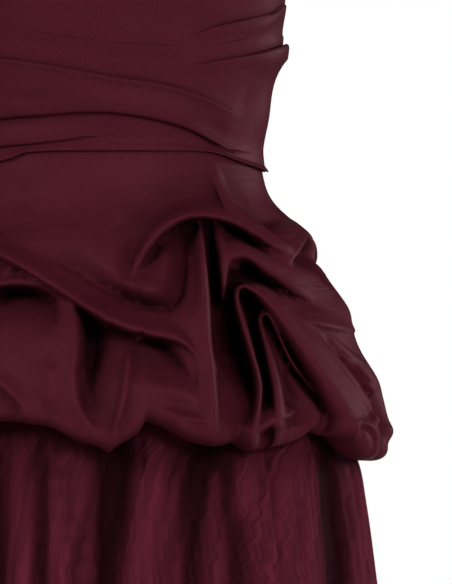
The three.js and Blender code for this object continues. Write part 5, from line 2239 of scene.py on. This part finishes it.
@dataclass(frozen=True)
class Zip:
    """The concealed zip at the centre back.

    Attributes:
        top: Where its coils start.
        slider: The heights between which the slider hides them.
        low_end: Where they end.
        pitch: How far apart the loops of one coil lie.
        loop: The radius of a loop.
        wire: The radius of its wire.
        flatness: How deep a loop is for its width.
        apart: How far the coils' middles lie from the centre back.
        inside_bodice: How far out from the bodice's inside they lie.
        inside_slip: How far out from the slip's outside they lie.
        leaves_bodice: Where the zip starts to pass from the bodice to the slip.
        joins_slip: Where it has reached the slip.
    """

    top: float = 180.0
    slider: tuple[float, float] = (166.4, 177.7)
    low_end: float = -98.0
    pitch: float = 1.3
    loop: float = 0.8
    wire: float = 0.36
    flatness: float = 0.7
    apart: float = 0.55
    inside_bodice: float = -2.7
    inside_slip: float = -3.7
    leaves_bodice: float = 16.0
    joins_slip: float = 1.0

    def rail(self, side: float, start: float, end: float) -> Array:
        """Lay out the line that one coil follows.

        Args:
            side: 1 for the wearer's left, -1 for the right.
            start: The height of its top.
            end: The height of its foot.

        Returns:
            Its points, one a row.
        """
        z = np.arange(start, end, -self.pitch)
        z = np.append(z, end) if z[-1] - end > self.pitch / 2 else z
        in_bodice = BODICE_INSIDE.points(180.0, z, self.inside_bodice)
        in_slip = SLIP_OUTSIDE.points(180.0, z, self.inside_slip)
        share = np.clip((self.leaves_bodice - z) / (self.leaves_bodice - self.joins_slip), 0, 1)[:, None]
        rail = in_bodice + (in_slip - in_bodice) * share
        rail[:, 0] = side * self.apart
        return rail

    def dress_solids(self) -> None:
        """Give the zip's tapes, slider and pull tab their materials."""
        finishes = {"tape_left": TAPE, "tape_right": TAPE, "slider": METAL, "pull_tab": METAL}
        for name, finish in finishes.items():
            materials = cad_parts[f"zip_{name}"].data.materials
            materials.clear()
            materials.append(finish.material())

    def build(self) -> None:
        """Finish the zip's solids and string its coils."""
        self.dress_solids()
        tree = CoilTree()
        values = {
            "Pitch": self.pitch * MM,
            "Loop Radius": self.loop * MM,
            "Wire": self.wire * MM,
            "Flatness": self.flatness,
            "Finish": COIL.material(),
        }
        low, high = self.slider
        for name, side, phase in (("left", 1.0, 0.0), ("right", -1.0, self.pitch / 2)):
            for place, start, end in (("top", self.top, high), ("low", low, self.low_end)):
                rail = self.rail(side, start - phase, end - phase)
                settle(tree.string(f"zip_coil_{name}_{place}", rail, values), None)


# --------------------------------------------------------------------------- studio


@dataclass(frozen=True)
class AreaLight:
    """A soft box that looks at a point of the dress. Its lengths are metres.

    Attributes:
        name: Its name.
        place: Where it hangs.
        size: How wide it is.
        power: Its power in watts.
        target: The point that it looks at.
    """

    name: str
    place: tuple[float, float, float]
    size: float
    power: float
    target: tuple[float, float, float] = (0.0, -0.05, -0.12)

    def build(self) -> None:
        """Hang the light."""
        lamp = bpy.data.lights.new(self.name, "AREA")
        lamp.shape, lamp.size, lamp.energy = "DISK", self.size, self.power
        lamp.cycles.use_multiple_importance_sampling = True
        holder = show(self.name, lamp)
        holder.location = self.place
        holder.rotation_mode = "QUATERNION"
        aim = Vector(np.array(self.target) - np.array(self.place))
        holder.rotation_quaternion = aim.to_track_quat("-Z", "Y")


@dataclass(frozen=True)
class Studio:
    """A pale floor, a white surround, soft lights and the camera. Its lengths are metres.

    Attributes:
        floor_z: The height of the floor.
        floor_radius: The radius of the floor.
        floor_sides: How many sides its rim has.
        centre: What the camera looks at, across and up.
        distance: How far in front of the near face the camera stands.
        near_face: How far forward the dress reaches.
        seen_height: How much of the dress the sensor takes in at that distance.
        sensor: The camera's sensor in millimetres.
        lights: The soft boxes.
    """

    floor_z: float = -0.4425
    floor_radius: float = 1.45
    floor_sides: int = 96
    centre: tuple[float, float] = (0.0936, -0.1014)
    distance: float = 8.0
    near_face: float = -0.15
    seen_height: float = 0.4171
    sensor: float = 36.0
    lights: tuple[AreaLight, ...] = (
        AreaLight("left", (-1.8, -1.6, 0.8), 0.9, 29.0),
        AreaLight("upper_left", (-1.3, -1.2, 1.8), 0.9, 7.0),
        AreaLight("front", (1.0, -2.2, 0.7), 0.9, 29.0),
        AreaLight("right", (1.9, -1.6, 0.2), 0.9, 14.0),
        AreaLight("rim", (2.35, 1.0, 0.3), 0.9, 34.0),
        AreaLight("back", (-0.6, 2.6, 1.0), 1.6, 20.0),
    )

    def build(self) -> None:
        """Set up the room, the lights and the camera."""
        self.floor()
        self.surround()
        for light in self.lights:
            light.build()
        self.camera()
        bpy.context.scene.view_settings.view_transform = "Standard"

    def floor(self) -> None:
        """Lay the floor."""
        turn = np.linspace(0, 2 * np.pi, self.floor_sides + 1)[:-1]
        ring = np.stack([np.cos(turn), np.sin(turn), 0 * turn], axis=1) * self.floor_radius
        ring[:, 2] = self.floor_z
        mesh = bpy.data.meshes.new("floor")
        mesh.from_pydata(ring.tolist(), [], [list(range(len(ring)))])
        mesh.materials.append(ROOM.material())
        show("floor", mesh)

    def surround(self) -> None:
        """Make everything beyond the floor white to the camera, without lighting the dress."""
        world = bpy.data.worlds.new("surround")
        world.use_nodes = True
        bpy.context.scene.world = world
        glow = world.node_tree.nodes["Background"]
        glow.inputs["Color"].default_value = (1.0, 1.0, 1.0, 1.0)
        glow.inputs["Strength"].default_value = 1.0
        world.cycles_visibility.diffuse = False
        world.cycles_visibility.glossy = False

    def camera(self) -> None:
        """Place the camera square on to the front."""
        lens = bpy.data.cameras.new("camera")
        lens.sensor_width = self.sensor
        lens.lens = self.sensor * self.distance / self.seen_height
        lens.clip_start, lens.clip_end = 0.1, 30.0
        holder = show("camera", lens)
        x, z = self.centre
        holder.location = (x, self.near_face - self.distance, z)
        holder.rotation_euler = (np.pi / 2, 0.0, 0.0)
        bpy.context.scene.camera = holder


# --------------------------------------------------------------------------- the dress

DRESS = (
    Bodice(),
    Overskirt(),
    Slip(),
    TulleLayer(
        "tulle_under", UNDER_TULLE_OUTSIDE, -158.0, -434.0, UNDER_FLUTES, seed=5, count=15, flat=(740, 290)
    ),
    TulleLayer(
        "tulle_outer", TULLE_OUTSIDE, -150.0, -440.0, OUTER_FLUTES, seed=11, count=19, flat=(830, 300)
    ),
    Zip(),
)


def main() -> None:
    """Build the dress and its studio."""
    logging.basicConfig(level=logging.INFO, format="%(message)s")
    for part in DRESS:
        part.build()
    Studio().build()


if __name__ == "__main__":
    main()
